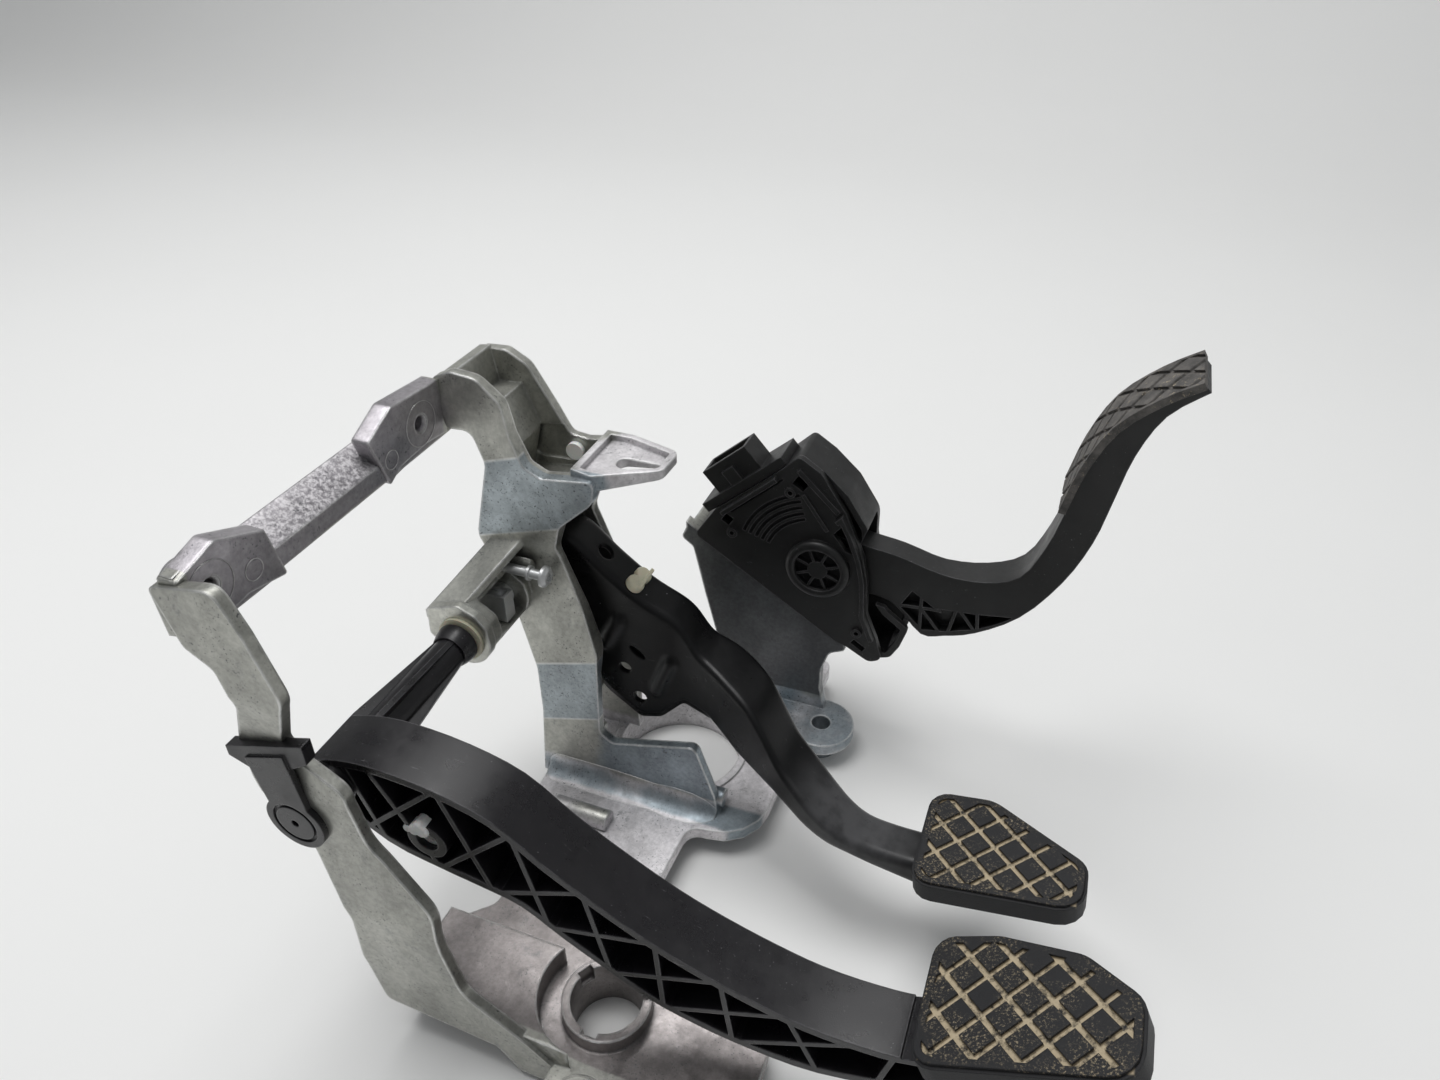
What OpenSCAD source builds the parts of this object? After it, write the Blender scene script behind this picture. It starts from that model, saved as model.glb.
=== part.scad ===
// Pedal box of a car: a die-cast bracket with a plastic clutch pedal, a pressed-steel brake pedal
// and an electronic accelerator. Millimetres. Z = 0 is the firewall face, the origin is the centre
// of the servo opening, +X points down in the car and +Z towards the driver.

/* [Firewall base] */
// Height of the base plate's top face
plate_top = 18; // [15:1:21]
// Thickness of the base plate
plate_t = 4; // [3:0.5:5]
// Thickness of the rim and of the walls under the plate
rim_t = 4; // [3:0.5:5]
// Diameter of the opening for the brake servo
servo_d = 68; // [62:1:72]
// Diameter of the socket for the clutch cylinder
socket_d = 32; // [28:1:34]
// Diameter of the holes for the firewall bolts
bolt_d = 11; // [8.5:0.5:12]

/* [Bracket] */
// Outer face of the side arm
arm_y = -188; // [-192:1:-185]
// Thickness of the side arm
arm_t = 5; // [4:0.5:6]
// Outer face of the near cheek
cheek_y = -34; // [-36:1:-32]
// Thickness of a cheek
cheek_t = 5; // [4.5:0.5:6]
// Clear width between the cheeks
cheek_gap = 33; // [32:1:35]
// Tapping diameter of the two threads in the cross bar
thread_d = 6.8; // [5:0.1:8.5]
// Distance between the two threads
thread_pitch = 124; // [120:1:128]
// Width of the slot in the tongue
slot_w = 9; // [7:0.5:11]

/* [Pivot] */
// Pivot axis of the clutch and the brake along X
pivot_x = -76; // [-77:0.5:-75]
// Pivot axis of the clutch and the brake above the firewall
pivot_z = 135; // [134:0.5:136]
// Diameter of the clutch pin
clutch_pin_d = 10; // [8:0.5:11]
// Diameter of the brake pin
brake_pin_d = 12; // [10:0.5:13]
// Play between a pin and its bush
fit = 0.06; // [0.04:0.01:0.1]

/* [Clutch pedal] */
// Gap between the side arm and the clutch pedal
clutch_gap = 15; // [13:1:17]
// Width of the clutch pedal
clutch_w = 26; // [24:1:28]
// Thickness of the flanges
flange_t = 3.5; // [2.5:0.5:5]
// Thickness of the lattice ribs
rib_t = 2.2; // [1.6:0.2:3]
// Thickness of the web in the middle
web_t = 4; // [3:0.5:6]
// Diameter of the hub tube
hub_d = 15; // [14:0.5:16]
// Slope of the clutch pad
clutch_tilt = 25; // [20:1:28]

/* [Brake pedal] */
// Width of the brake pedal channel
brake_w = 22; // [20:1:24]
// Sheet thickness of the brake pedal
sheet_t = 3; // [2.5:0.25:4]
// Sideways offset of the brake pedal
crank = 40; // [36:1:42]
// Slope of the brake pad
brake_tilt = 9; // [6:1:12]

/* [Pads] */
// Thickness of a rubber pad over its skirt
pad_t = 11; // [10:0.5:13]
// Width of the grooves
groove_w = 2.4; // [1.6:0.2:3.2]
// Depth of the grooves
groove_d = 1.6; // [0.8:0.2:2.4]
// Distance between grooves
groove_pitch = 11.6; // [9:0.2:14]

/* [Accelerator] */
// Near face of the accelerator's tower
tower_y = 57; // [55:1:59]
// Slope of the tower's top
tower_slope = 32; // [31:0.5:33]
// Width of the accelerator housing
accel_w = 28; // [27:1:32]
// Wall of the accelerator housing
accel_wall = 3.5; // [3:0.5:4]
// Width of the accelerator pedal at its hub
accel_arm_w = 14; // [12:1:15]
// Width of the accelerator pad
accel_pad_w = 34; // [30:1:38]
// Diameter of the accelerator's pin
accel_pin_d = 8; // [6:0.5:9]
// Outer diameter of the return spring
spring_d = 13; // [11:0.5:14]
// Wire of the return spring
wire_d = 1.6; // [1.2:0.1:2]

/* [Hidden] */
fine = 48;
small = 24;
arm_in = arm_y + arm_t;
clutch_y = arm_in + clutch_gap;
clutch_far = clutch_y + clutch_w;
cheek_in = cheek_y + cheek_t;
far_in = cheek_in + cheek_gap;
far_out = far_in + cheek_t;
brake_y = cheek_in + (cheek_gap - brake_w) / 2 + 0.5;
brake_far = brake_y + brake_w;
bearing_y = cheek_y - 41;
bush_len = 9;
bush_d = hub_d + 5;
arm_bush_d = clutch_pin_d + 4;
brake_bush_d = brake_pin_d + 4;
brake_hub_d = brake_bush_d + 6;
pin_lock_y = cheek_y - 10;
lock_screw_z = pivot_z + 19;
lock_tab_x = pivot_x + 18;
bar_x = -97;
bar_z = 232;
thread_y = cheek_y - 17;
socket_x = 31;
socket_y = arm_y + 32;
foot = [69, 46];
ear = [37, arm_y - bolt_d / 2 - 4];
rear_bolt = [-60, 16];
plateau_top = plate_top + 12;
rim_z = plate_top - 7;
arm_boss = 3;
ring_top = plate_top + 8;
plug_x = -52;
plug_z = 198;
tower_x = -18;
tower_z = 131;
tower_w = 42;
cover_y = tower_y - 4;
cover_t = 3.5;
cover_in = cover_y + cover_t;
housing_far = cover_y + accel_w;
hub_u = 70;
hub_n = 34;
accel_hub_d = 30;
accel_y = cover_in + 3.5;
accel_far = accel_y + accel_arm_w;
accel_x = tower_x + hub_u * cos(tower_slope) + hub_n * sin(tower_slope);
accel_z = tower_z - hub_u * sin(tower_slope) + hub_n * cos(tower_slope);
screw_u = [24, 92];
screw_y = housing_far + 9;
spring_u = hub_u - 23;
spring_foot = 43;
spring_head = 69;
clutch_pad_x = 163;
clutch_pad_y = clutch_y + 20.5;
clutch_pad_z = 95;
brake_pad_x = 144;
brake_pad_y = brake_y - crank + 8.5;
brake_pad_z = 69;
pad_skin = 5;
pad_lip = 3.5;
plate_under = 4;

// Sub-part to draw

// Unit vector of a plane vector
function unit(v) = v / norm(v);
function flat(p) = [p[0], p[1]];
function back(p) = [for (i = [len(p) - 1:-1:0]) p[i]];
function shift(p, d) = [for (q = p) q + d];

// Arc that rounds the corner b between its neighbours a and c
function corner_arc(a, b, c, n) =
    let (u = unit(flat(a) - flat(b)), v = unit(flat(c) - flat(b)), half = acos(u * v) / 2,
        m = flat(b) + unit(u + v) * b[2] / sin(half), s = flat(b) + u * b[2] / tan(half) - m,
        e = flat(b) + v * b[2] / tan(half) - m, start = atan2(s[1], s[0]),
        sweep = atan2(s[0] * e[1] - s[1] * e[0], s * e))
    [for (i = [0:n]) m + b[2] * [cos(start + sweep * i / n), sin(start + sweep * i / n)]];

// Outline from corners [x, y, radius]
function rounded(c, n = 4) =
    [for (i = [0:len(c) - 1]) each c[i][2] > 0
        ? corner_arc(c[(i + len(c) - 1) % len(c)], c[i], c[(i + 1) % len(c)], n) : [flat(c[i])]];

// Corners of a counterclockwise outline moved inwards
function inset(c, d) =
    [for (i = [0:len(c) - 1])
        let (p = flat(c[i]), e = unit(p - flat(c[(i + len(c) - 1) % len(c)])),
            f = unit(flat(c[(i + 1) % len(c)]) - p), m = [-e[1] - f[1], e[0] + f[0]] / (1 + e * f),
            side = sign(e[0] * f[1] - e[1] * f[0]))
        [p[0] + m[0] * d, p[1] + m[1] * d, c[i][2] > 0 ? max(1, c[i][2] - side * d) : 0]];

// Smooth curve through points
function spline(p, n = 4) =
    concat([for (i = [0:len(p) - 2]) each [for (k = [0:n - 1])
        let (t = k / n, a = p[max(i - 1, 0)], b = p[i], c = p[i + 1], d = p[min(i + 2, len(p) - 1)])
        (2 * b + (c - a) * t + (2 * a - 5 * b + 4 * c - d) * t * t
            + (3 * b - a - 3 * c + d) * t * t * t) / 2]],
        [p[len(p) - 1]]);

// Open path moved to its left
function beside(p, d) =
    [for (i = [0:len(p) - 1])
        let (e = unit(p[max(i, 1)] - p[max(i, 1) - 1]),
            f = unit(p[min(i + 1, len(p) - 1)] - p[min(i, len(p) - 2)]))
        p[i] + [-e[1] - f[1], e[0] + f[0]] * d / (1 + e * f)];

function strip(a, b, w) =
    let (s = unit(b - a) * w / 2, m = [-s[1], s[0]]) [a + m, a - m, b - m, b + m];

// Plate in the XZ plane between two Y planes
module slab(y0, y1) {
    translate([0, y1, 0]) rotate([90, 0, 0]) linear_extrude(y1 - y0) children();
}

// Bar along X with its section in the YZ plane
module across(x0, x1) {
    translate([x0, 0, 0]) rotate([90, 0, 90]) linear_extrude(x1 - x0) children();
}

module rod_y(x, z, d, y0, y1) {
    translate([x, y0, z]) rotate([-90, 0, 0]) cylinder(d = d, h = y1 - y0, $fn = fine);
}

module rod_x(y, z, d, x0, x1) {
    translate([x0, y, z]) rotate([0, 90, 0]) cylinder(d = d, h = x1 - x0, $fn = small);
}

module rod_z(p, d, z0, z1) {
    translate([p[0], p[1], z0]) cylinder(d = d, h = z1 - z0, $fn = fine);
}

base_corners = [[-58, arm_in, 4], [20, arm_in, 4], [20, arm_y - 25, 14], [54, arm_y - 25, 14],
    [54, arm_in, 4],
    [104, arm_in, 14], [104, arm_y + 48, 14], [60, arm_y + 62, 16], [25, -95, 14], [26, -50, 8],
    [61, -50, 26],
    [61, tower_y + tower_w, 8], [-4, tower_y + tower_w, 10], [-4, tower_y, 10],
    [-46, 54, 18], [-70, 30, 14], [-70, -24, 6], [-61, -44, 6], [-60, -60, 6], [-42, -126, 8],
    [-58, arm_y + 46, 8]];

// Firewall base with its rim, ribs and walls around the holes
module base_plate() {
    difference() {
        translate([0, 0, rim_z]) linear_extrude(plate_top - rim_z) polygon(rounded(base_corners));
        translate([0, 0, rim_z - 1]) linear_extrude(plate_top - plate_t - rim_z + 1) difference() {
            polygon(rounded(inset(base_corners, rim_t)));
            for (x = [-52, -12]) translate([x, arm_y]) square([rim_t, 145]);
            for (y = [-122, -88, -52]) translate([-80, y]) square([120, rim_t]);
            translate([40, -60]) square([rim_t, 170]);
            translate([-6, 62]) square([100, rim_t]);
            translate([60, arm_y]) square([rim_t, 70]);
            translate([-80, -2]) square([60, rim_t]);
        }
    }
}

arm_corners = [[-61, 21, 4], [-6, 17, 4], [4, 4, 0], [32, 4, 0], [25, 14, 6], [10, 28, 10],
    [-18, 48, 14], [-22, 78, 10], [-22, 102, 14],
    [-46, 132, 20], [-51, 158, 8], [-70, 168, 4], [-73, 176, 6], [-63, 201, 10], [-72, 227, 12],
    [-80, 244, 6],
    [-109, 239, 3], [-101, 215, 5], [-90, 208, 6], [-86, 192, 8], [-96, 168, 10], [-91, 144, 10],
    [-73, 122, 20],
    [-64, 80, 16], [-67, 50, 12]];
arm_bend = [[0, 0], [0, 45], [-2.5, 88], [0, 125], [0, 152], [2, 170], [-2, 197], [0.5, 260]];

// Side arm: a strap with shallow bends
module side_arm() {
    intersection() {
        slab(arm_y - 10, arm_in + 10) polygon(rounded(arm_corners));
        across(-130, 40) polygon(concat(shift(arm_bend, [arm_y, 0]), shift(back(arm_bend), [arm_in, 0])));
    }
    rod_y(pivot_x, pivot_z, arm_bush_d + 9, arm_y + 1, arm_in + arm_boss);
}

// Cross bar with the two thread bosses
module cross_bar() {
    left = thread_y - thread_pitch;
    slab(arm_y + 1, cheek_in) polygon([[-110, 233], [bar_x, 227], [bar_x, 218], [-109, 216]]);
    across(bar_x - 7, bar_x - 1) polygon(rounded([[arm_y + 2, 216, 0], [left + 33, 215, 3],
    [left + 29, 236, 3],
        [left + 8, 246, 4], [arm_y + 2, 243, 0]]));
    across(bar_x - 7, bar_x - 1) polygon(rounded([[thread_y - 26, 216, 3], [cheek_y + 1, 220, 0],
        [cheek_y + 1, 245, 0],
        [thread_y - 18, 248, 4], [thread_y - 34, 240, 3]]));
    for (y = [thread_y, left]) rod_x(y, bar_z - 1, thread_d + 11, bar_x - 14, bar_x);
}

near_arch = [[-48, 206, 5], [-56, 210, 5], [-62, 224, 6], [-65, 239, 8], [-77, 249, 10], [-90, 250, 6],
    [-99, 246, 2]];
far_arch = [[-46, 205, 5], [-55, 206, 5], [-62, 219, 8], [-74, 239, 10], [-85, 245, 5], [-99, 244, 2]];
head_right = [[-27, 108, 10], [-34, 134, 10], [-39, 147, 8], [-46, 166, 8], [-41, 181, 10],
    [-23, 198, 10], [-21, 210, 3]];
head_left = [[-95, 222, 3], [-82, 223, 6], [-76, 208, 8], [-86, 168, 14], [-84, 158, 10], [-72, 124, 10],
    [-62, 90, 12],
    [-62, 60, 10], [-66, rim_z + 2, 0]];
wing_corners = [[38, rim_z + 2, 0], [36, 30, 5], [25, 63, 4], [-22, 49, 3], [-29, 54, 5]];
back_wall = [[-99, 245], [-95, 222], [-82, 223], [-76, 208], [-83.5, 178]];

// Folds of the near cheek, (y from its plane, height along the turned frame)
fold_turn = 18;
cheek_folds = [[1, 275], [-3, 222], [-3, 184], [0.5, 168], [0.5, 160], [-4.5, 105], [-4.5, -20], [0.5, -20],
    [0.5, 98], [14, 150], [14, 275]];

// Head: two cheeks, the wall between them and the slotted tongue
module head() {
    intersection() {
        slab(cheek_y - 10, cheek_in) polygon(rounded(concat(wing_corners, head_right, near_arch,
        head_left)));
        rotate([0, -fold_turn, 0]) across(-220, 160) polygon(shift(cheek_folds, [cheek_y, 0]));
    }
    slab(far_in, far_out) polygon(rounded(concat([[-27, rim_z + 2, 0]], head_right, far_arch, head_left)));
    slab(cheek_in - 1, far_in + 1) polygon(concat(back_wall, back(beside(back_wall, 6))));
    tongue = [[-35, cheek_in - 3, 0], [-24, cheek_y - 0.5, 4], [4, cheek_in + 10, 5], [4.5, far_in - 5, 5],
        [-21, far_in + 2, 8], [-35, far_in + 2, 0]];
    difference() {
        intersection() {
            translate([0, 0, 190]) linear_extrude(21.5) polygon(rounded(tongue));
            slab(cheek_y - 5, far_out) polygon([[-40, 203], [-22, 203.5], [6, 207.5], [6, 215],
            [-40, 215]]);
        }
        translate([0, 0, 208.5]) linear_extrude(7) polygon(rounded(inset(tongue, 3.4)));
    }
    slab(cheek_in - 1, far_in + 1) polygon([[-81, 181], [-50, 185], [-34, 204], [-34, 210], [-52, 189.5],
        [-80, 185.5]]);
    for (z = [40, 72]) slab(cheek_y - 1, cheek_in + 3) polygon([[-61, z], [-31, z + 6], [-31, z + 10],
        [-61, z + 4]]);
    rod_y(pivot_x, pivot_z, brake_pin_d + 14, cheek_y - 1, cheek_in);
    rod_y(pivot_x, pivot_z, brake_pin_d + 14, far_in, far_out + 2);
    rod_x(cheek_y + 2, 25, 10, 24, 39);
    rod_x(cheek_y - 31, plate_top + 3, 11, -44, -13);
}

housing_d = [[-17, -3, 3], [13, -4, 3], [13, 8, 5], [1, 16, 3], [-16, 10.5, 2]];
collar = [[-18, -4, 3], [14, -4, 3], [14.5, 8, 5], [9, 14.5, 4], [-0.5, 18.5, 5], [-17, 13, 1.5]];

// Bearing housing in front of the near cheek, open at its side
module bearing_housing() {
    difference() {
        union() {
            slab(bearing_y, cheek_y + 3) translate([pivot_x, pivot_z]) {
                circle(d = bush_d + 8, $fn = fine);
                polygon(rounded(housing_d));
            }
            slab(bearing_y, bearing_y + 5) translate([pivot_x, pivot_z]) {
                circle(d = bush_d + 10, $fn = fine);
                polygon(rounded(collar));
            }
            rod_x(pin_lock_y + 3, lock_screw_z, 13, lock_tab_x - 20, lock_tab_x);
        }
        translate([pivot_x - 5, bearing_y + bush_len + 3, pivot_z - 8]) cube([40,
        cheek_y - 4 - bearing_y - bush_len - 3, 22]);
        translate([pivot_x + 4, bearing_y + bush_len + 3, pivot_z - 8]) cube([40,
        cheek_y - 4 - bearing_y - bush_len - 3, 50]);
    }
    intersection() {
        slab(bearing_y + 1, cheek_y + 3) translate([-120, 100]) square(100);
        translate([pivot_x - 9, bearing_y + 4, pivot_z + 11.5]) rotate([0, 0, -21]) rotate([26, 0, 0])
            translate([-8, -10, -2]) cube([16, 60, 4]);
    }
}

tower_corners = [[68, rim_z + 2, 0], [64, 34, 8], [64, 48, 6], [68, 62, 6], [78, 67, 3], [73, 76, 0],
    [73, 84, 0],
    [tower_x, tower_z + 9, 0], [tower_x, tower_z - 4, 0], [-21, 120, 3], [-14, 115, 4], [-7, 84, 10],
    [2, 48, 10],
    [2, rim_z + 2, 0]];

// Tower that carries the accelerator: a near web, a top plate and two walls behind the web
module tower() {
    difference() {
        union() {
            slab(tower_y, tower_y + 6) polygon(rounded(tower_corners));
            at_tower() translate([3, tower_y + 3, -7]) cube([94, tower_w - 3, 12]);
        }
        at_tower() translate([-40, tower_y - 10, 0]) cube([200, tower_w + 20, 60]);
    }
    slab(tower_y + 2, tower_y + tower_w) polygon([[2, rim_z + 2], [8, rim_z + 2], [8, 48], [-1, 84],
    [-9, 116], [-15, 118],
        [-7, 84], [2, 48]]);
    slab(tower_y + 2, tower_y + tower_w) polygon([[32, rim_z + 2], [38, rim_z + 2], [44, 90], [38, 94]]);
    for (u = screw_u) at_tower() translate([u, screw_y, -14]) cylinder(d = 13, h = 12, $fn = small);
}

module at_tower() {
    translate([tower_x, 0, tower_z]) rotate([0, tower_slope, 0]) children();
}

module ring_notches() {
    for (a = [30:120:270]) translate([socket_x, socket_y, plate_top]) rotate([0, 0, a])
        translate([0, -3.5, 0]) cube([socket_d / 2 + 2, 7, 20]);
}

module bracket_casting() {
    color([0.55, 0.56, 0.58]) difference() {
        union() {
            base_plate();
            difference() {
                translate([-56, arm_y + 2, plate_top - 1]) cube([84, 43, plateau_top - plate_top + 1]);
                translate([socket_x, socket_y, plate_top]) cylinder(r = socket_d / 2 + 14, h = 40,
                    $fn = fine);
                translate([-51, arm_in, plate_top - 2]) cube([46, 36,
                plateau_top - plate_top - plate_t + 2]);
            }
            rod_z([socket_x, socket_y], socket_d + 8, 0, ring_top);
            for (p = [ear, rear_bolt]) rod_z(p, bolt_d + 11, 0, plate_top + 2);
            rod_z(foot, bolt_d + 11, 0, plate_top);
            rod_z(foot, bolt_d + 27, rim_z, plate_top);
            rod_z([0, 0], servo_d + 2 * rim_t, 0, plate_top + 1);
            side_arm();
            cross_bar();
            head();
            bearing_housing();
            tower();
        }
        rod_z([0, 0], servo_d, -1, plate_top + 1.5);
        rod_z([socket_x, socket_y], socket_d, -1, 60);
        ring_notches();
        for (p = [foot, ear, rear_bolt]) rod_z(p, bolt_d, -1, 60);
        for (y = [thread_y, thread_y - thread_pitch]) rod_x(y, bar_z, thread_d, bar_x - 30, bar_x + 10);
        rod_y(pivot_x, pivot_z, arm_bush_d, arm_y - 10, arm_in + 10);
        rod_y(pivot_x, pivot_z, bush_d, bearing_y - 1, bearing_y + bush_len);
        rod_y(pivot_x, pivot_z, hub_d + 1, bearing_y - 1, bearing_y + bush_len + 4);
        rod_y(pivot_x, pivot_z, brake_pin_d, pin_lock_y - 4, far_out + 10);
        rod_x(pin_lock_y + 3, lock_screw_z, 5, lock_tab_x - 24, lock_tab_x + 10);
        translate([-9, (cheek_in + far_in) / 2 - 2, 195]) linear_extrude(40) {
            for (x = [-7, 6]) translate([x, 0]) circle(d = slot_w, $fn = small);
            translate([-7, -slot_w / 2]) square([13, slot_w]);
        }
        rod_y(plug_x, plug_z, 6, far_in - 1, far_out + 1);
        slab(far_in - 1, far_in + 0.8) polygon(rounded([[-77, 191, 7], [-40, 193, 4], [-40, 204, 3],
            [-58, 211, 4],
            [-76, 208, 7]]));
        for (u = screw_u) at_tower() translate([u, screw_y, -20]) cylinder(d = 5, h = 40, $fn = small);
    }
}

clutch_top = spline(shift([[-9, 9], [6, 14], [24, 16], [49, 14], [73, 7], [94, -9], [116, -23], [138, -35],
    [158, -43], [178, -49], [198, -53], [220, -53], [240, -49], [272, -33]], [pivot_x, pivot_z]), 3);
clutch_low = spline(shift([[-11, 2], [-4, -10], [20, -28], [44, -34], [62, -37], [80, -41], [98, -53],
    [118, -65],
    [134, -74], [155, -80], [178, -83], [205, -82], [238, -70], [266, -50]], [pivot_x, pivot_z]), 3);

// Lattice of crossing ribs between the flanges
module clutch_ribs() {
    for (k = [5:4:29]) {
        polygon(strip(clutch_top[k], clutch_low[k + 4], rib_t));
        polygon(strip(clutch_low[k], clutch_top[k + 4], rib_t));
    }
    polygon(strip(clutch_top[3], clutch_low[6], rib_t));
    polygon(strip(clutch_top[35], clutch_low[35], rib_t));
    translate([pivot_x, pivot_z]) circle(d = hub_d + 6, $fn = fine);
    translate([pivot_x + 40, pivot_z - 19]) circle(r = 9, $fn = small);
}

module clutch_pocket(y0, y1) {
    slab(y0, y1) difference() {
        polygon(concat(beside(clutch_top, -flange_t), back(beside(clutch_low, flange_t))));
        polygon(strip(clutch_top[0], clutch_low[0], 10));
        polygon(strip(clutch_top[len(clutch_top) - 1], clutch_low[len(clutch_low) - 1], 6));
        clutch_ribs();
    }
}

clutch_pad_corners = [[-3, -28, 9], [76, -25, 12], [76, 5, 12], [54, 22, 14], [22, 28.5, 14], [-3, 27, 9]];
brake_pad_corners = [[-1, -27, 9], [72, -25, 12], [72, 1, 10], [28, 28.5, 14], [-1, 28, 9]];

module at_clutch_pad() {
    translate([clutch_pad_x, clutch_pad_y, clutch_pad_z]) rotate([0, -clutch_tilt, 0]) children();
}

module at_brake_pad() {
    translate([brake_pad_x, brake_pad_y, brake_pad_z]) rotate([0, -brake_tilt, 0]) children();
}

// Plate that the rubber is pulled over
module pad_plate(corners) {
    translate([0, 0, -pad_skin - plate_under]) linear_extrude(plate_under)
        polygon(rounded(inset(corners, pad_lip + 0.05)));
}

// Rubber with a grooved face and a skirt around the plate
module pad_rubber(corners, crossing) {
    difference() {
        union() {
            translate([0, 0, -pad_t]) linear_extrude(pad_t - 1.5) polygon(rounded(corners));
            translate([0, 0, -2]) linear_extrude(2) polygon(rounded(inset(corners, 1.2)));
        }
        translate([0, 0, -pad_t - 1]) linear_extrude(1 + pad_t - pad_skin - plate_under)
            polygon(rounded(inset(corners, pad_lip + 3)));
        translate([0, 0, -pad_skin - plate_under]) linear_extrude(plate_under)
            polygon(rounded(inset(corners, pad_lip)));
        translate([0, 0, -groove_d]) linear_extrude(groove_d + 1) intersection() {
            polygon(rounded(inset(corners, 4)));
            for (a = [45, -45]) translate(crossing) rotate(a) for (i = [-6:6])
                translate([i * groove_pitch - groove_w / 2, -70]) square([groove_w, 140]);
        }
    }
}

module clutch_pedal_arm() {
    color([0.12, 0.11, 0.13]) difference() {
        union() {
            difference() {
                slab(clutch_y, clutch_far) polygon(concat(clutch_top, back(clutch_low)));
                clutch_pocket(clutch_y - 1, clutch_far - 10);
                clutch_pocket(clutch_far - 10 + web_t, clutch_far + 1);
                at_clutch_pad() translate([-9, -50, -pad_skin - plate_under]) cube([140, 100, 60]);
            }
            at_clutch_pad() pad_plate(clutch_pad_corners);
            rod_y(pivot_x, pivot_z, hub_d + 4, arm_in + arm_boss + 1.8, clutch_y + 2);
            rod_y(pivot_x, pivot_z, hub_d, clutch_y, bearing_y + bush_len + 2);
            for (a = [20:90:290]) translate([pivot_x, 0, pivot_z]) rotate([0, a, 0]) across(-1.3, 1.3)
                polygon([[clutch_far - 9, 0], [clutch_far - 9, 13], [clutch_far + 4, 13],
                [bearing_y - 6, hub_d / 2], [bearing_y - 6, 0]]);
        }
        rod_y(pivot_x, pivot_z, clutch_pin_d, arm_in - 1, bearing_y + 40);
        rod_y(pivot_x + 40, pivot_z - 19, 10, clutch_y - 1, clutch_far + 1);
    }
}

module clutch_pedal_pad() {
    color([0.09, 0.09, 0.09]) at_clutch_pad() difference() {
        pad_rubber(clutch_pad_corners, [37, 10]);
        translate([-14, clutch_y - clutch_pad_y - 1, -pad_t - 12])
            cube([60, clutch_w + 2, 12 + pad_t - pad_skin - plate_under]);
    }
}

module clutch_pivot_pin() {
    color([0.7, 0.7, 0.72]) rod_y(pivot_x, pivot_z, clutch_pin_d - 0.02, arm_y + 0.6,
        bearing_y + bush_len + 2);
}

module clutch_arm_bush() {
    color([0.85, 0.82, 0.72]) difference() {
        union() {
            rod_y(pivot_x, pivot_z, arm_bush_d - 0.02, arm_y + 0.5, arm_in + arm_boss + 1.5);
            rod_y(pivot_x, pivot_z, arm_bush_d + 6, arm_in + arm_boss, arm_in + arm_boss + 1.5);
        }
        rod_y(pivot_x, pivot_z, clutch_pin_d + 2 * fit, arm_y - 5, arm_in + 10);
    }
}

module clutch_housing_bush() {
    color([0.85, 0.82, 0.72]) difference() {
        union() {
            rod_y(pivot_x, pivot_z, bush_d - 0.02, bearing_y - 1.5, bearing_y + bush_len);
            rod_y(pivot_x, pivot_z, bush_d + 3, bearing_y - 1.5, bearing_y);
        }
        rod_y(pivot_x, pivot_z, hub_d + 2 * fit, bearing_y - 5, bearing_y + 20);
    }
}

// Clip that covers the arm's bore and hooks over both edges of the strap
module pivot_clip() {
    disc_d = arm_bush_d + 12;
    color([0.05, 0.05, 0.05]) difference() {
        union() {
            rod_y(pivot_x, pivot_z, disc_d, arm_y - 2.6, arm_y);
            slab(arm_y - 2.6, arm_y) polygon(shift([[-9, 4], [9, 4], [5, 38], [-14, 31]],
            [pivot_x, pivot_z]));
            slab(arm_y - 1.6, arm_in - 1.5) polygon(shift([[-23, 28], [-23, 33], [15, 46], [15, 37],
            [-8, 22]], [pivot_x, pivot_z]));
        }
        side_arm();
        rod_y(pivot_x, pivot_z, 3.4, arm_y - 10, arm_y + 1);
        rod_y(pivot_x, pivot_z, arm_bush_d + 14, arm_y, arm_in);
        slab(arm_y - 3, arm_y - 1.5) difference() {
            translate([pivot_x, pivot_z]) circle(d = disc_d - 6, $fn = fine);
            translate([pivot_x, pivot_z]) circle(d = disc_d - 9, $fn = fine);
        }
    }
}

// Plastic socket for the clutch cylinder's rod
module push_rod_socket() {
    color([0.9, 0.9, 0.88]) difference() {
        rod_y(pivot_x + 40, pivot_z - 19, 9.98, clutch_y + 3, clutch_far - 2);
        rod_y(pivot_x + 40, pivot_z - 19, 6, clutch_y + 1, clutch_far - 6);
    }
}

brake_top = spline([[-88, 150], [-72, 164], [-48, 167], [-28, 151], [-10, 138], [7, 130], [14, 124],
    [22, 113],
    [38, 108], [54, 102], [64, 92], [74, 80], [86, 73], [98, 66], [118, 58], [146, 58], [176, 66]], 4);
brake_low = [[176, 52], [146, 42], [123, 48], [102, 51], [85, 56], [70, 66], [46, 80], [28, 80],
    [13, 80], [0, 65],
    [-12, 61], [-30, 74], [-62, 112], [-88, 126]];

// Path of the brake channel seen from above
module brake_band(d) {
    near = [[-110, brake_y + d], [18, brake_y + d], [96, brake_y - crank + d], [250, brake_y - crank + d]];
    far = [[-110, brake_far - d], [36, brake_far - d], [112, brake_far - crank - d],
    [250, brake_far - crank - d]];
    linear_extrude(300) polygon(concat(near, back(far)));
}

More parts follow.
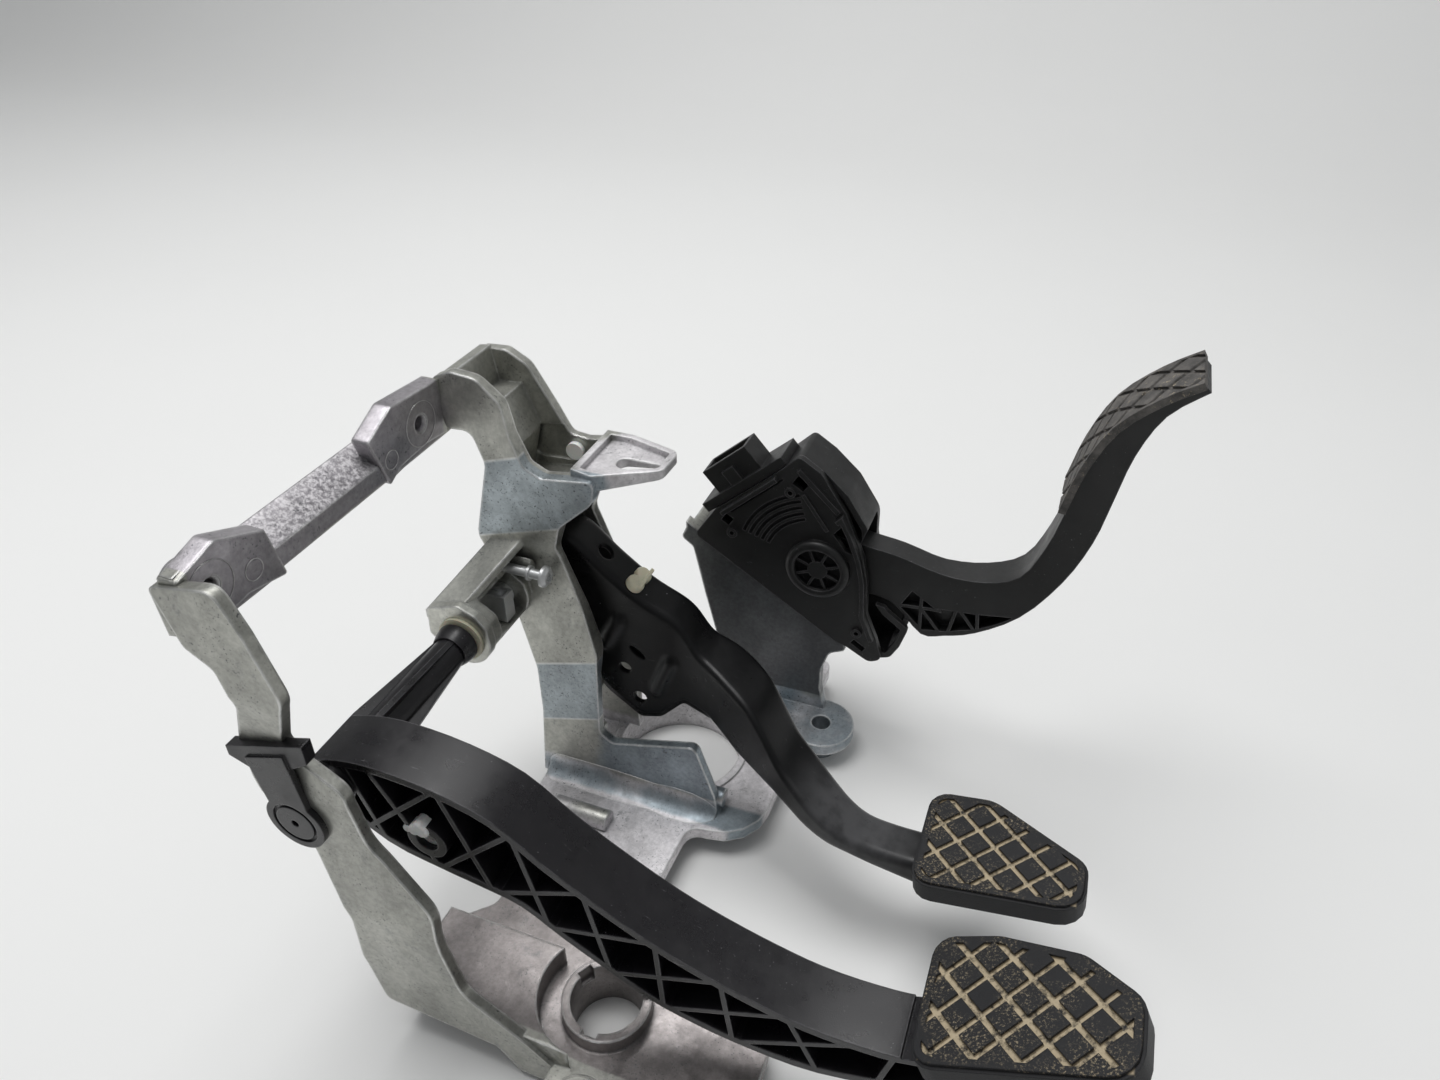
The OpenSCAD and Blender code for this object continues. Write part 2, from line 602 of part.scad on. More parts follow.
module brake_pedal_arm() {
    color([0.06, 0.06, 0.07]) difference() {
        union() {
            difference() {
                intersection() {
                    slab(-120, 20) polygon(concat(brake_top, brake_low));
                    brake_band(0);
                }
                intersection() {
                    slab(-120, 20) polygon(concat(beside(brake_top, -sheet_t), [[172, 30], [-110, 30],
                        [-110, 126]]));
                    brake_band(sheet_t);
                }
            }
            for (p = [[-2, 92, 14], [20, 104, -8]]) translate([p[0], brake_y, p[1]]) rotate([0, p[2], 0])
                translate([0, 0, -12]) cylinder(d = 4, h = 24, $fn = small);
        }
        at_brake_pad() translate([-8, -60, -pad_skin - plate_under]) cube([160, 120, 60]);
        rod_y(pivot_x, pivot_z, brake_hub_d, brake_y - 5, brake_far + 5);
        rod_y(-19, 90, 7, brake_y - 5, brake_far + 5);
        rod_y(-12, 72, 8, brake_y - 5, brake_far + 5);
        translate([-12, brake_y - 5, 101]) cube([5, 30, 5]);
        translate([-32, (brake_y + brake_far) / 2, 140]) cylinder(d = 7, h = 40, $fn = small);
    }
    color([0.06, 0.06, 0.07]) at_brake_pad() pad_plate(brake_pad_corners);
}

module brake_hub_tube() {
    color([0.1, 0.1, 0.1]) difference() {
        rod_y(pivot_x, pivot_z, brake_hub_d - 0.02, brake_y, brake_far);
        rod_y(pivot_x, pivot_z, brake_bush_d, brake_y - 1, brake_far + 1);
    }
}

module brake_pedal_pad() {
    color([0.09, 0.09, 0.09]) at_brake_pad() difference() {
        pad_rubber(brake_pad_corners, [32, 0.5]);
        translate([-14, brake_y - crank - brake_pad_y - 1, -pad_t - 12])
            cube([50, brake_w + 2, 12 + pad_t - pad_skin - plate_under]);
    }
}

module brake_pivot_pin() {
    color([0.72, 0.72, 0.74]) difference() {
        rod_y(pivot_x, pivot_z, brake_pin_d - 0.02, pin_lock_y - 3.5, far_out + 1);
        difference() {
            rod_y(pivot_x, pivot_z, brake_pin_d + 2, pin_lock_y - 0.8, pin_lock_y + 0.8);
            rod_y(pivot_x, pivot_z, brake_pin_d - 4, pin_lock_y - 2, pin_lock_y + 2);
        }
    }
}

// Flanged bush, pressed into the hub from one side
module brake_bush(y0, y1, flange0, flange1) {
    color([0.85, 0.82, 0.72]) difference() {
        union() {
            rod_y(pivot_x, pivot_z, brake_bush_d - 0.02, y0, y1);
            rod_y(pivot_x, pivot_z, brake_hub_d - 2, flange0, flange1);
        }
        rod_y(pivot_x, pivot_z, brake_pin_d + 2 * fit, y0 - 10, y1 + 10);
    }
}

module brake_bush_near() {
    brake_bush(brake_y, brake_y + 9, cheek_in + 0.3, brake_y);
}

module brake_bush_far() {
    brake_bush(brake_far - 9, brake_far, brake_far, far_in - 0.3);
}

// Folded plate whose fork holds the brake pin by its neck
module pin_lock_plate() {
    reach = brake_pin_d / 2 + 3;
    neck = brake_pin_d - 3.96;
    color([0.75, 0.75, 0.77]) difference() {
        union() {
            for (y = [pin_lock_y, pin_lock_y - 6]) slab(y - 0.75, y + 0.75) translate([pivot_x, pivot_z])
                polygon([[-5, -7], [reach, -7], [reach, 8], [-5, 8]]);
            translate([pivot_x + reach - 1.5, pin_lock_y - 6, pivot_z - 7]) cube([1.5, 6, 15]);
        }
        rod_y(pivot_x, pivot_z, neck, pin_lock_y - 2, pin_lock_y + 2);
        translate([pivot_x - 20, pin_lock_y - 2, pivot_z - neck / 2]) cube([20, 4, neck]);
    }
}

// Screw with a six-lobed recess in front of the bearing housing
module pin_lock_screw() {
    seat = lock_tab_x + 8;
    color([0.75, 0.75, 0.75]) difference() {
        union() {
            rod_x(pin_lock_y + 3, lock_screw_z, 4.98, lock_tab_x - 18, seat + 1);
            rod_x(pin_lock_y + 3, lock_screw_z, 7.5, lock_tab_x, lock_tab_x + 1.5);
            translate([seat, pin_lock_y + 3, lock_screw_z]) rotate([0, 90, 0])
                rotate_extrude($fn = small) polygon([[0, 0], [5.3, 0], [5.3, 1.6], [3.6, 3.2], [0, 3.6]]);
        }
        for (a = [0, 60, 120]) translate([seat + 4.4, pin_lock_y + 3, lock_screw_z]) rotate([a, 0, 0])
            cube([5, 4.4, 1.4], center = true);
    }
}

module switch_contact() {
    color([0.88, 0.84, 0.7]) difference() {
        translate([-13, (brake_y + brake_far) / 2, 139]) rotate([0, 38, 0]) union() {
            translate([-7, -4.5, -1.5]) cube([14, 9, 4]);
            translate([-5, -3, 2]) cube([10, 6, 4]);
        }
        intersection() {
            slab(-120, 20) polygon(concat(brake_top, brake_low));
            brake_band(0);
        }
    }
}

module head_plug() {
    color([0.92, 0.92, 0.92]) union() {
        rod_y(plug_x, plug_z, 5.96, far_in + 0.7, far_out);
        rod_y(plug_x, plug_z, 9, far_in - 2, far_in + 0.8);
    }
}

accel_corners = [[8, 0, 3], [106, 0, 2], [112, 2, 3], [127, 3, 5], [134, 12, 5], [133, 22, 3], [129, 35, 3],
    [114, 36, 4], [100, 41, 8], [84, 58, 10], [76, 70, 12], [56, 79, 12], [38, 82, 4], [24, 82, 3],
    [20, 64, 3],
    [8, 22, 3]];
cover_corners = [[8, 0, 3], [106, 0, 2], [112, 2, 3], [127, 3, 5], [131, 10, 4], [120, 19, 5],
    [107, 28, 10],
    [100, 37.5, 16], [94, 46, 16], [83, 57, 16], [61, 72, 3], [38, 82, 4], [24, 82, 3], [20, 64, 3],
    [8, 22, 3]];
// Hooked rib along the open edge of the cover
hook = [[59, 66], [60, 71], [70.5, 65], [83, 56], [93, 46], [99.5, 37], [106, 28], [119, 19]];

module accel_slab(y0, y1) {
    at_tower() slab(y0, y1) children();
}

module accelerator_housing() {
    color([0.07, 0.07, 0.07]) difference() {
        union() {
            accel_slab(cover_in, housing_far) polygon(rounded(accel_corners));
            for (u = screw_u) at_tower() translate([u - 8, housing_far - 2, 0]) cube([16, 18, 6]);
        }
        accel_slab(cover_in - 1, housing_far - accel_wall) polygon(rounded(inset(accel_corners,
            accel_wall)));
        accel_slab(accel_y - 0.6, accel_far + 2) polygon([[82, 14], [140, 14], [140, 90], [70, 90],
        [78, 60]]);
        accel_slab(cover_in - 1, accel_y) polygon([[82, 15], [98, 15], [103, 33], [111, 37], [140, 37],
            [140, 90],
            [70, 90], [78, 60]]);
        accel_slab(cover_in - 1, cover_in + 1.6) for (i = [0:2])
            polygon(strip([112 + 6 * i, 32 - 2 * i], [118 + 5 * i, 22 - i], 2.4));
        at_tower() rod_y(hub_u, hub_n, accel_pin_d, cover_in, housing_far + 1);
        for (u = screw_u) at_tower() translate([u, screw_y, -1]) cylinder(d = 5.4, h = 10, $fn = small);
        at_tower() translate([0, cover_in + 5, 38]) cube([16, 8, 14]);
    }
    color([0.07, 0.07, 0.07]) accel_slab(accel_y, accel_far)
        polygon([[spring_u - 9, spring_head], [spring_u + 9, spring_head], [spring_u + 9, 77],
            [spring_u - 9, 77]]);
}

// Near cover with the spoked disc, concentric grooves, latch windows and a hooked rib
module accelerator_cover() {
    disc_d = 35;
    eye_d = 25;
    color([0.08, 0.08, 0.08]) difference() {
        union() {
            accel_slab(cover_y, cover_in) polygon(rounded(cover_corners));
            at_tower() rod_y(hub_u, hub_n, disc_d, cover_y - 2.5, cover_in);
            accel_slab(cover_y - 3.5, cover_in) {
                polygon(concat(hook, back(beside(hook, -2.6))));
                polygon(strip([12, 25], [22.4, 64], 2.6));
            }
            accel_slab(cover_y - 1.5, cover_in) {
                polygon(strip([28, 76], [58, 70], 3));
                polygon(strip([38, 66], [60, 57], 2.4));
                for (p = [[23, 17.6], [32.4, 61.9], [110, 14.7]]) translate(p) circle(d = 6, $fn = small);
            }
        }
        at_tower() rod_y(hub_u, hub_n, accel_pin_d, cover_y - 1, cover_in + 1);
        accel_slab(cover_y - 4, cover_y + 1) translate([hub_u, hub_n]) difference() {
            circle(d = eye_d, $fn = fine);
            circle(d = accel_pin_d + 3, $fn = small);
            for (a = [10:45:145]) rotate(a) square([eye_d + 4, 1.5], center = true);
        }
        accel_slab(cover_y - 1, cover_y + 1.5) translate([hub_u, hub_n]) intersection() {
            for (i = [0:4]) difference() {
                circle(r = 30.8 + i * 3.6, $fn = fine);
                circle(r = 29 + i * 3.6, $fn = fine);
            }
            polygon(concat([for (a = [138:14:194]) 60 * [cos(a), sin(a)]], [[-12, -3], [-11, 9]]));
        }
        accel_slab(cover_y - 1, cover_y + 1) polygon(strip([15, 28], [25, 65], 1.2));
        for (p = [[14, 19.5, 5, 5.5], [30, 66.5, 7, 6], [112, 6, 8, 3.4]])
            at_tower() translate([p[0], cover_y - 5, p[1]]) cube([p[2], 12, p[3]]);
        for (p = [[23, 17.6], [32.4, 61.9], [110, 14.7]]) at_tower() rod_y(p[0], p[1], 2.6, cover_y - 5,
            cover_y + 2);
        accel_slab(cover_y - 5, cover_in + 1) polygon([[63.5, 57], [64, 63.5], [79, 54.5], [74, 53]]);
    }
}

module at_connector() {
    at_tower() translate([13.2, 0, 43]) rotate([0, 16, 0]) children();
}

module accelerator_connector() {
    color([0.06, 0.06, 0.06]) difference() {
        at_connector() difference() {
            union() {
                translate([-19, cover_y + 4, -15]) cube([19.5, 15, 31]);
                translate([-5, cover_y + 1, -26.5]) cube([5.5, 21, 57.5]);
                translate([-14, cover_y + 1.5, -4]) cube([10, 3, 8]);
            }
            translate([-20, cover_y + 6, -13]) cube([15, 11, 27]);
        }
        accel_slab(cover_in - 1, housing_far) polygon(rounded(accel_corners));
        accel_slab(cover_y - 1, cover_in + 0.2) polygon(rounded(inset(accel_corners, -0.2)));
        at_connector() for (i = [0:5]) translate([-30, cover_y + 11.5 - 0.5, -10.6 + i * 4.2]) cube([60,
        1, 1]);
    }
}

module connector_pins() {
    color([0.8, 0.7, 0.45]) at_connector() for (i = [0:5])
        translate([-15, cover_y + 11.5 - 0.48, -10.58 + i * 4.2]) cube([13.5, 0.96, 0.96]);
}

module sensor_board() {
    color([0.1, 0.3, 0.15]) accel_slab(cover_in, cover_in + 1.6) difference() {
        polygon([[18, 22], [46, 12], [54, 12], [54, 48], [50, 60], [30, 62]]);
        translate([hub_u, hub_n]) circle(d = 24, $fn = fine);
    }
}

accel_over = spline([[-8, 15.5], [8, 17.5], [25, 15], [41, 13], [63, 8], [84, 10], [101, 19], [110, 40],
    [115, 62],
    [120, 86], [129, 108], [144, 124], [158, 134]], 3);
// Ribbed recess low on the near side
recess = [[49.5, -7], [44, -18.5], [57.5, -31], [69, -28], [85, -20.5], [94, -14], [102, -6.5], [84, -11],
    [62, -15]];
recess_ribs = [[[54.5, -4], [56, -34]], [[40, -18.5], [66, -15.5]], [[55.6, -17.5], [70, -34]],
    [[70, -34], [74, -8]],
    [[74, -10], [86, -24]], [[84, -8], [86, -24]]];
accel_under = spline([[-4, -15.5], [14, -15.5], [30, -15], [42, -19], [57, -34], [69, -31], [85, -23],
    [105, -5],
    [121, 22], [130, 48], [134, 72], [138, 97], [146, 118], [160, 132]], 3);

module at_accel() {
    translate([accel_x, 0, accel_z]) children();
}

// Plan of the accelerator pedal: narrow at the hub, wide under the foot
module accel_plan() {
    foot_near = accel_y - 6;
    linear_extrude(400, center = true) polygon([[-40, accel_y], [60, accel_y], [112, foot_near + 1],
        [180, foot_near],
        [180, foot_near + accel_pad_w - 4], [112, accel_y + 18], [60, accel_far], [-40, accel_far]]);
}

module accelerator_arm() {
    color([0.07, 0.07, 0.07]) at_accel() difference() {
        intersection() {
            union() {
                difference() {
                    slab(accel_y - 20, accel_y + 60) polygon(concat(accel_over, back(accel_under)));
                    slab(accel_y - 21, accel_y + 5) difference() {
                        polygon(recess);
                        for (r = recess_ribs) polygon(strip(r[0], r[1], 1.8));
                    }
                    slab(accel_y + 9, accel_y + 61) difference() {
                        polygon(concat([for (i = [14:34]) beside(accel_over, -3.2)[i]],
                            back([for (i = [17:37]) beside(accel_under, 3.2)[i]])));
                        for (k = [14:3:29]) {
                            polygon(strip(accel_over[k], accel_under[k + 6], 2));
                            polygon(strip(accel_under[k + 3], accel_over[k + 3], 2));
                        }
                    }
                }
                rod_y(0, 0, accel_hub_d, accel_y - 3, accel_far + 3);
                rotate([0, tower_slope, 0]) slab(accel_y - 3, accel_far + 3)
                    polygon([[spring_u - hub_u - 9, -3], [0, -10], [0, 10],
                    [spring_u - hub_u - 9, spring_foot - hub_n]]);
            }
            accel_plan();
        }
        rod_y(0, 0, accel_pin_d + 2 * fit, accel_y - 1, accel_far + 1);
        rod_y(0, 0, 20, accel_y - 1, accel_y + 2);
    }
}

// Rubber layer on the foot end of the accelerator pedal
module accelerator_pad() {
    skin = [for (i = [24:36]) accel_over[i]];
    rim = accel_y - 8;
    chord = skin[12] - skin[0];
    color([0.1, 0.1, 0.09]) at_accel() difference() {
        slab(rim, rim + accel_pad_w) polygon(concat(skin, back(beside(skin, 3.5))));
        intersection() {
            slab(rim + 2, rim + accel_pad_w - 2) polygon(concat(beside(skin, 2.3), back(beside(skin, 6))));
            translate([skin[6][0], rim + accel_pad_w / 2, skin[6][1]]) rotate([0, -atan2(chord[1],
            chord[0]), 0])
                for (a = [45, -45]) rotate([0, 0, a]) for (i = [-5:5])
                    translate([i * groove_pitch - groove_w / 2, -90, -30]) cube([groove_w, 180, 60]);
        }
    }
}

module accelerator_pin() {
    color([0.7, 0.7, 0.72]) at_tower() rod_y(hub_u, hub_n, accel_pin_d - 0.02, cover_y + 0.5, housing_far);
}

module return_spring() {
    turns = 6;
    rise = spring_head - spring_foot - wire_d - 0.4;
    color([0.6, 0.6, 0.62]) at_tower() translate([spring_u, (accel_y + accel_far) / 2,
    spring_foot + wire_d / 2 + 0.2])
        linear_extrude(rise, twist = -360 * turns, slices = turns * 12)
            translate([spring_d / 2 - wire_d / 2, 0]) circle(d = wire_d, $fn = 8);
}

module sensor_magnet() {
    color([0.25, 0.25, 0.27]) at_tower() difference() {
        rod_y(hub_u, hub_n, 19.96, accel_y, accel_y + 2);
        rod_y(hub_u, hub_n, 12, accel_y - 1, accel_y + 3);
    }
}

module accelerator_screws() {
    color([0.72, 0.72, 0.7]) for (u = screw_u) at_tower() translate([u, screw_y, 0]) {
        translate([0, 0, -9]) cylinder(d = 4.98, h = 16, $fn = small);
        translate([0, 0, 6]) difference() {
            cylinder(d = 9, h = 3.6, $fn = small);
            translate([0, 0, 1.4]) cylinder(d = 4.6, h = 4, $fn = 6);
        }
    }
}

bracket_casting();
clutch_pedal_arm();
clutch_pedal_pad();
clutch_pivot_pin();
clutch_arm_bush();
clutch_housing_bush();
pivot_clip();
push_rod_socket();
brake_pedal_arm();
brake_hub_tube();
brake_pedal_pad();
brake_pivot_pin();
brake_bush_near();
brake_bush_far();
pin_lock_plate();
pin_lock_screw();
switch_contact();
head_plug();
accelerator_housing();
accelerator_cover();
accelerator_connector();
connector_pins();
sensor_board();
accelerator_arm();
accelerator_pad();
accelerator_pin();
return_spring();
sensor_magnet();
accelerator_screws();
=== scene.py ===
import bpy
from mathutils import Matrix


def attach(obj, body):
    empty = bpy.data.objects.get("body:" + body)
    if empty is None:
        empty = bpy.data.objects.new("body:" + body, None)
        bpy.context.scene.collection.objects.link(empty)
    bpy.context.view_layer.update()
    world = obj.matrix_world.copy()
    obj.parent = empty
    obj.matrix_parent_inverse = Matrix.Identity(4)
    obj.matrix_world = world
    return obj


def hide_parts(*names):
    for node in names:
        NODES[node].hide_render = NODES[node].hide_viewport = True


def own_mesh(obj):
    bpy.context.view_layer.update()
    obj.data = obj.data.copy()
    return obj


bl_info = {
    "name": "Pedal Box",
    "version": (1, 0, 0),
    "blender": (4, 5, 0),
    "location": "View3D > Sidebar > Pedal Box",
    "description": "Finishes and fine pieces of a car's pedal box, set on its solid frame",
    "category": "Object",
}

import math

import bmesh
import bpy
from bpy.props import FloatProperty, FloatVectorProperty, PointerProperty
from mathutils import Matrix, Vector

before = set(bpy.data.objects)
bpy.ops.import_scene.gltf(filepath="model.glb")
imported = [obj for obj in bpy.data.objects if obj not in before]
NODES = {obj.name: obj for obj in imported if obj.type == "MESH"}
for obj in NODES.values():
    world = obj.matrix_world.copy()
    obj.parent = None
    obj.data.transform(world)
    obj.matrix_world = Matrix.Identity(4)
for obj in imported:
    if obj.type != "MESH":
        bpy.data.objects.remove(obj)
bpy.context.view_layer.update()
MM = 0.001
ORIGIN = (0.0, 0.0, 0.0)
ALONG = (1.0, 0.0, 0.0)
ACROSS = (0.0, 1.0, 0.0)
UP = (0.0, 0.0, 1.0)

# Places shared with the solids, in millimetres
PIVOT = (-76.0, 135.0)
CLUTCH_PAD = (163.0, -147.5, 95.0)
CLUTCH_TILT = 25.0
BRAKE_PAD = (144.0, -54.5, 69.0)
BRAKE_TILT = 9.0
BRAKE_PLATE = 9.0
# Turn of the near cheek's folds about y, the folds' heights in that frame, and their blur in metres
FOLD_TURN = 18.0
FOLDS = (70.0, 107.0, 184.5, 222.5)
FOLD_BLUR = 0.0004
# Hollow fillet between the near cheek's foot and the base plate, (x, radius) along it
FOOT_FILLET = ((-61.5, 5.0), (-58.0, 10.5), (-20.0, 11.0), (2.0, 10.0), (12.0, 11.5), (24.0, 11.0),
               (33.0, 8.0), (37.0, 4.0))
FOOT_FACE = -38.5
PLATE_TOP = 18.0
# Reach over which its radius changes, and how far it goes into the metal under it
FILLET_SOFT = 1.5
SINK = 1.0
# Faces of the two thread plates on the cross bar, (y, z, corner radius), from one x to another
PLATE_LEFT = ((-186.8, 217, 1), (-174, 217, 6), (-161, 219, 6), (-141.6, 214.6, 1.2), (-146.4, 238, 1.5),
              (-168, 247.5, 4), (-186.8, 242.3, 1))
PLATE_NEAR = ((-77.2, 215.6, 1.2), (-68.5, 220, 6), (-49, 221, 8), (-33.5, 219, 1), (-33.5, 245.6, 1),
              (-68, 248.6, 3), (-85.6, 240.3, 1.5))
PLATE_SPAN = (-104.4, -96.0)
PLATE_RIM = 0.7
# Threads and mould marks in the plates, (y, z), radii of their rings, and radius and depth of a thread's hole
THREADS = ((-51.0, 232.0), (-175.0, 232.0))
MARKS = ((-73.7, 226.5), (-156.0, 226.5))
BOSS_RING = 10.2
MARK_RING = 4.2
THREAD_HOLE = 4.3
DRILL_DEPTH = 30.0
# A thread's ring: radii of its wall, mouth and root, height and step of its ridges, and depth
THREAD_WALL = 4.4
THREAD_MOUTH = 4.2
THREAD_ROOT = 3.35
THREAD_RIDGE = 0.45
THREAD_STEP = 0.6
THREAD_DEPTH = 8.3
# Section of the bar's sloped cap, (x, z, corner radius), its ends, and the direction in which its top looks,
# which sets where painted light brightens the cap's flakes
BAR_CAP = ((-111, 229, 1), (-97.3, 225, 0.6), (-96.9, 227.0, 0.8), (-110.6, 236.2, 1.2))
BAR_ENDS = (-147.0, -79.0)
CAP_FACE = (0.5, 0.0, 0.87)
# Shoulder on the clutch pedal's hub tube, (radius, y)
PIVOT_SHOULDER = ((7.4, -86.0), (8.6, -86.0), (9.6, -83.0), (10.2, -79.0), (10.0, -77.9), (7.4, -77.9))
# Centre of the accelerator's disc, (x, z), its face, and the dome round it, (radius, y past the face)
ACCEL_HUB = (59.4, 122.7)
DISC_FACE = 50.5
DISC_DOME = ((17.6, 2.0), (17.7, 0.4), (17.2, -0.6), (16.2, -1.3), (14.8, -1.7), (13.6, -1.6), (12.8, -1.0),
             (12.6, -0.2), (12.6, 2.0))
# Slope of the accelerator's tower: the direction in which its sloped face looks
TOWER_FACE = (0.53, 0.0, 0.85)

# Side view of the brake pedal's channel, (x, z)
BRAKE_TOP = ((-88, 150), (-72, 164), (-48, 167), (-28, 151), (-10, 138), (7, 130), (14, 124), (22, 113),
             (38, 108), (54, 102), (64, 92), (74, 80), (86, 73), (98, 66), (118, 58), (146, 57), (176, 62))
BRAKE_LOW = ((-88, 126), (-62, 112), (-30, 74), (-12, 61), (0, 65), (13, 80), (28, 77), (46, 66), (70, 60),
             (85, 55), (102, 50), (123, 45), (146, 41), (176, 48))
# Its plan, (x, y)
BRAKE_NEAR = ((-110, -23), (18, -23), (96, -63), (250, -63))
BRAKE_FAR = ((-110, -1), (36, -1), (112, -41), (250, -41))
# Reach over which the corners of these lines are rounded
TOP_SOFT = 3.0
LOW_SOFT = 1.6
PLAN_SOFT = 9.0
# Points of a section: steps of a roll, points up a wall, steps of a bend and across the top
ROLL_STEPS = 6
WALL_POINTS = 30
BEND_STEPS = 8
BRIDGE_STEPS = 5
# Its sections: first x, step and count, and the x from which the pad's plate caps it
CHANNEL_START = -88.0
CHANNEL_STEP = 1.5
CHANNEL_COUNT = 173
CHANNEL_CAPPED = 130.0
# Roll of its lower edges: least, added and where it grows, then the lip past the roll and where it grows
ROLL_LEAST = 0.5
ROLL_ADDED = 5.0
ROLL_GROWS = (16.0, 44.0)
LIP = 1.5
LIP_GROWS = (30.0, 44.0)
# Height by which the far wall stops short, where that sets in and where it ends
FAR_SHORT = 14.0
FAR_SETS_IN = (-50.0, -34.0)
FAR_ENDS = (2.0, 12.0)
# Pressed beads in the near wall, two ends (x, z) each, their height, and half widths of crown and foot
BRAKE_BEADS = (((-21, 122), (-30, 104)), ((6, 102), (-2, 81)))
BEAD_HEIGHT = 2.6
BEAD_HALF = (1.2, 4.6)
# Holes in the channel, in metres: place, direction, radius, depth, then stretch and spin of the oval one
BRAKE_HOLES = (((-0.0195, -0.023, 0.0905), ACROSS, 0.0036, 0.030),
               ((-0.0120, -0.023, 0.0723), ACROSS, 0.0040, 0.030),
               ((-0.0119, -0.023, 0.1030), ACROSS, 0.0022, 0.020, 2.4, 39.0),
               ((-0.0316, -0.012, 0.1530), (0.55, 0.0, 1.0), 0.0042, 0.020),
               ((PIVOT[0] * MM, -0.012, PIVOT[1] * MM), ACROSS, 0.0109, 0.060))
# Outlines of the pads seen along their tilt, (x, y, corner radius)
CLUTCH_PAD_OUTLINE = ((-3, -28, 9), (76, -25, 12), (76, 5, 12), (54, 22, 14), (22, 28.5, 14), (-3, 27, 9))
BRAKE_PAD_OUTLINE = ((-1, -27, 9), (72, -25, 12), (72, 1, 10), (28, 28.5, 14), (-1, 28, 9))
PAD_LIP = 3.55
PAD_PLATE = 4.0
# Cream clip on the top of the channel: seat, slope, lobes (x, y, radius), height and rim
CLIP_SEAT = (-14.5, -13.0, 141.3)
CLIP_SLOPE = 36.0
CLIP_LOBES = ((0.0, -4.2, 4.6), (0.6, 3.6, 4.3))
CLIP_SIZE = (3.4, 1.1)
# The toothed ridge on it: thickness and rim, half length, height and its fall, teeth and place
RIDGE_SIZE = (1.8, 0.5)
RIDGE_HALF = 8.0
RIDGE_HEIGHT = 4.4
RIDGE_FALL = 0.9
RIDGE_TEETH = 12
TOOTH = 0.5
RIDGE_PLACE = (0.0018, 0.0008, 0.0)
# White clip in the clutch pedal's bay: foot, then lobes, height and rim of its head and of the knob beside it
SOCKET_CLIP = (-38.6, -163.5, 122.0)
SOCKET_LOBES = ((-1.9, -0.4, 2.6), (1.6, 0.4, 3.3), (0.4, 2.2, 2.6))
SOCKET_SIZE = (6.0, 1.2)
KNOB_LOBES = ((0.0, 0.0, 1.9), (0.7, 0.5, 1.7))
KNOB_SIZE = (5.0, 0.8)
KNOB_PLACE = (-0.0058, -0.0018, 0.0)

# Angles below which an edge is shaded smooth, in degrees
CAST_SMOOTH = 24.0
MOULD_SMOOTH = 28.0
PLATE_SMOOTH = 30.0
RING_SMOOTH = 35.0
FINE_SMOOTH = 40.0
FILLET_SMOOTH = 50.0

# Rays that feel for edges and corners in a finish
RAYS = 4
# Roughness from least to most, and sheen, of the two black plastics
CLUTCH_SHINE = ((0.24, 0.42), 0.5)
ACCEL_SHINE = ((0.38, 0.56), 0.52)
# Regions of a finish: centre in millimetres, then the distances in metres where it is full and where it ends
NEAR_CHEEK = ((-50.0, -36.0, 130.0), 0.105, 0.110)
CHEEK_MIDDLE = (0.0, -0.0355, 0.0)
CHEEK_FOOT = ((10.0, -34.0, 40.0), 0.02, 0.06)
CROSS_BAR = ((-105.0, -110.0, 235.0), 0.073, 0.078)
# Tongue that painted light brightens
LIT_TONGUE = ((-10.0, -15.0, 211.0), 0.020, 0.034)
FAR_EAR = ((70.0, 48.0, 14.0), 0.030, 0.045)
# Tower that painted shade darkens
SHADED_TOWER = ((20.0, 70.0, 75.0), 0.070, 0.085)
# Bearing housing that a painted highlight brightens
LIT_BEARING = ((-80.0, -60.0, 150.0), 0.030, 0.045)
# Patch of painted sheen on the brake pedal near its pad
PAINT_SHEEN = ((112.0, -50.0, 60.0), 0.012, 0.042)

# Floor and backdrop, and the lamp, in metres
FLOOR_HALF = 16.0
FLOOR_FRONT = -16.0
BACKDROP = 1.2
BACKDROP_HEIGHT = 3.0
BACKDROP_BEND = 0.8
LAMP_SIZE = (1.5, 1.1)
LAMP_PLACE = (-0.45, 0.15, 2.2)
LAMP_AIM = (0.05, -0.05, 0.1)


def colour(name, text, value):
    """Colour property of a finish."""
    return FloatVectorProperty(
        name=name, description=text, subtype="COLOR", size=3, min=0.0, max=1.0, default=value)


def length(name, text, value):
    """Length property in metres."""
    return FloatProperty(
        name=name, description=text, subtype="DISTANCE", unit="LENGTH", min=0.0, default=value)


class CastingLook(bpy.types.PropertyGroup):
    """Raw die-cast aluminium of the bracket"""

    metal: colour("Metal", "Beige grey of the casting", (0.47, 0.47, 0.43))
    # Cool: bluish tone of the cheek's foot, the shore and the far ear, and the painted shade of the cheek's
    # fold bands
    cool: colour("Cool patch", "Bluish skin that the mould leaves", (0.345, 0.395, 0.43))
    brown: colour("Brown patch", "Brownish skin of the base plate's left end", (0.31, 0.285, 0.28))
    warm: colour("Warm patch", "Purple grey skin of the bar", (0.40, 0.38, 0.402))
    # Base: painted light that brightens the base plate and the tongue
    base: colour("Base", "Pale skin of the base plate", (0.74, 0.72, 0.735))
    # Tower: painted shade on the tower's faces below the accelerator, away from its sloped face
    tower: colour("Tower", "Dark skin of the tower", (0.155, 0.16, 0.165))
    # Speck: dark oxide specks and stains, and the painted shade in corners
    speck_and_shade: colour("Speck", "Dark oxide specks", (0.10, 0.105, 0.11))
    # Edge: painted highlight along the casting's open edges and the cheek's fold lines
    edge: colour("Edge", "Bright rubbed edges", (0.93, 0.93, 0.92))
    rim: length("Rim", "Radius of the casting's edges", 0.0018)


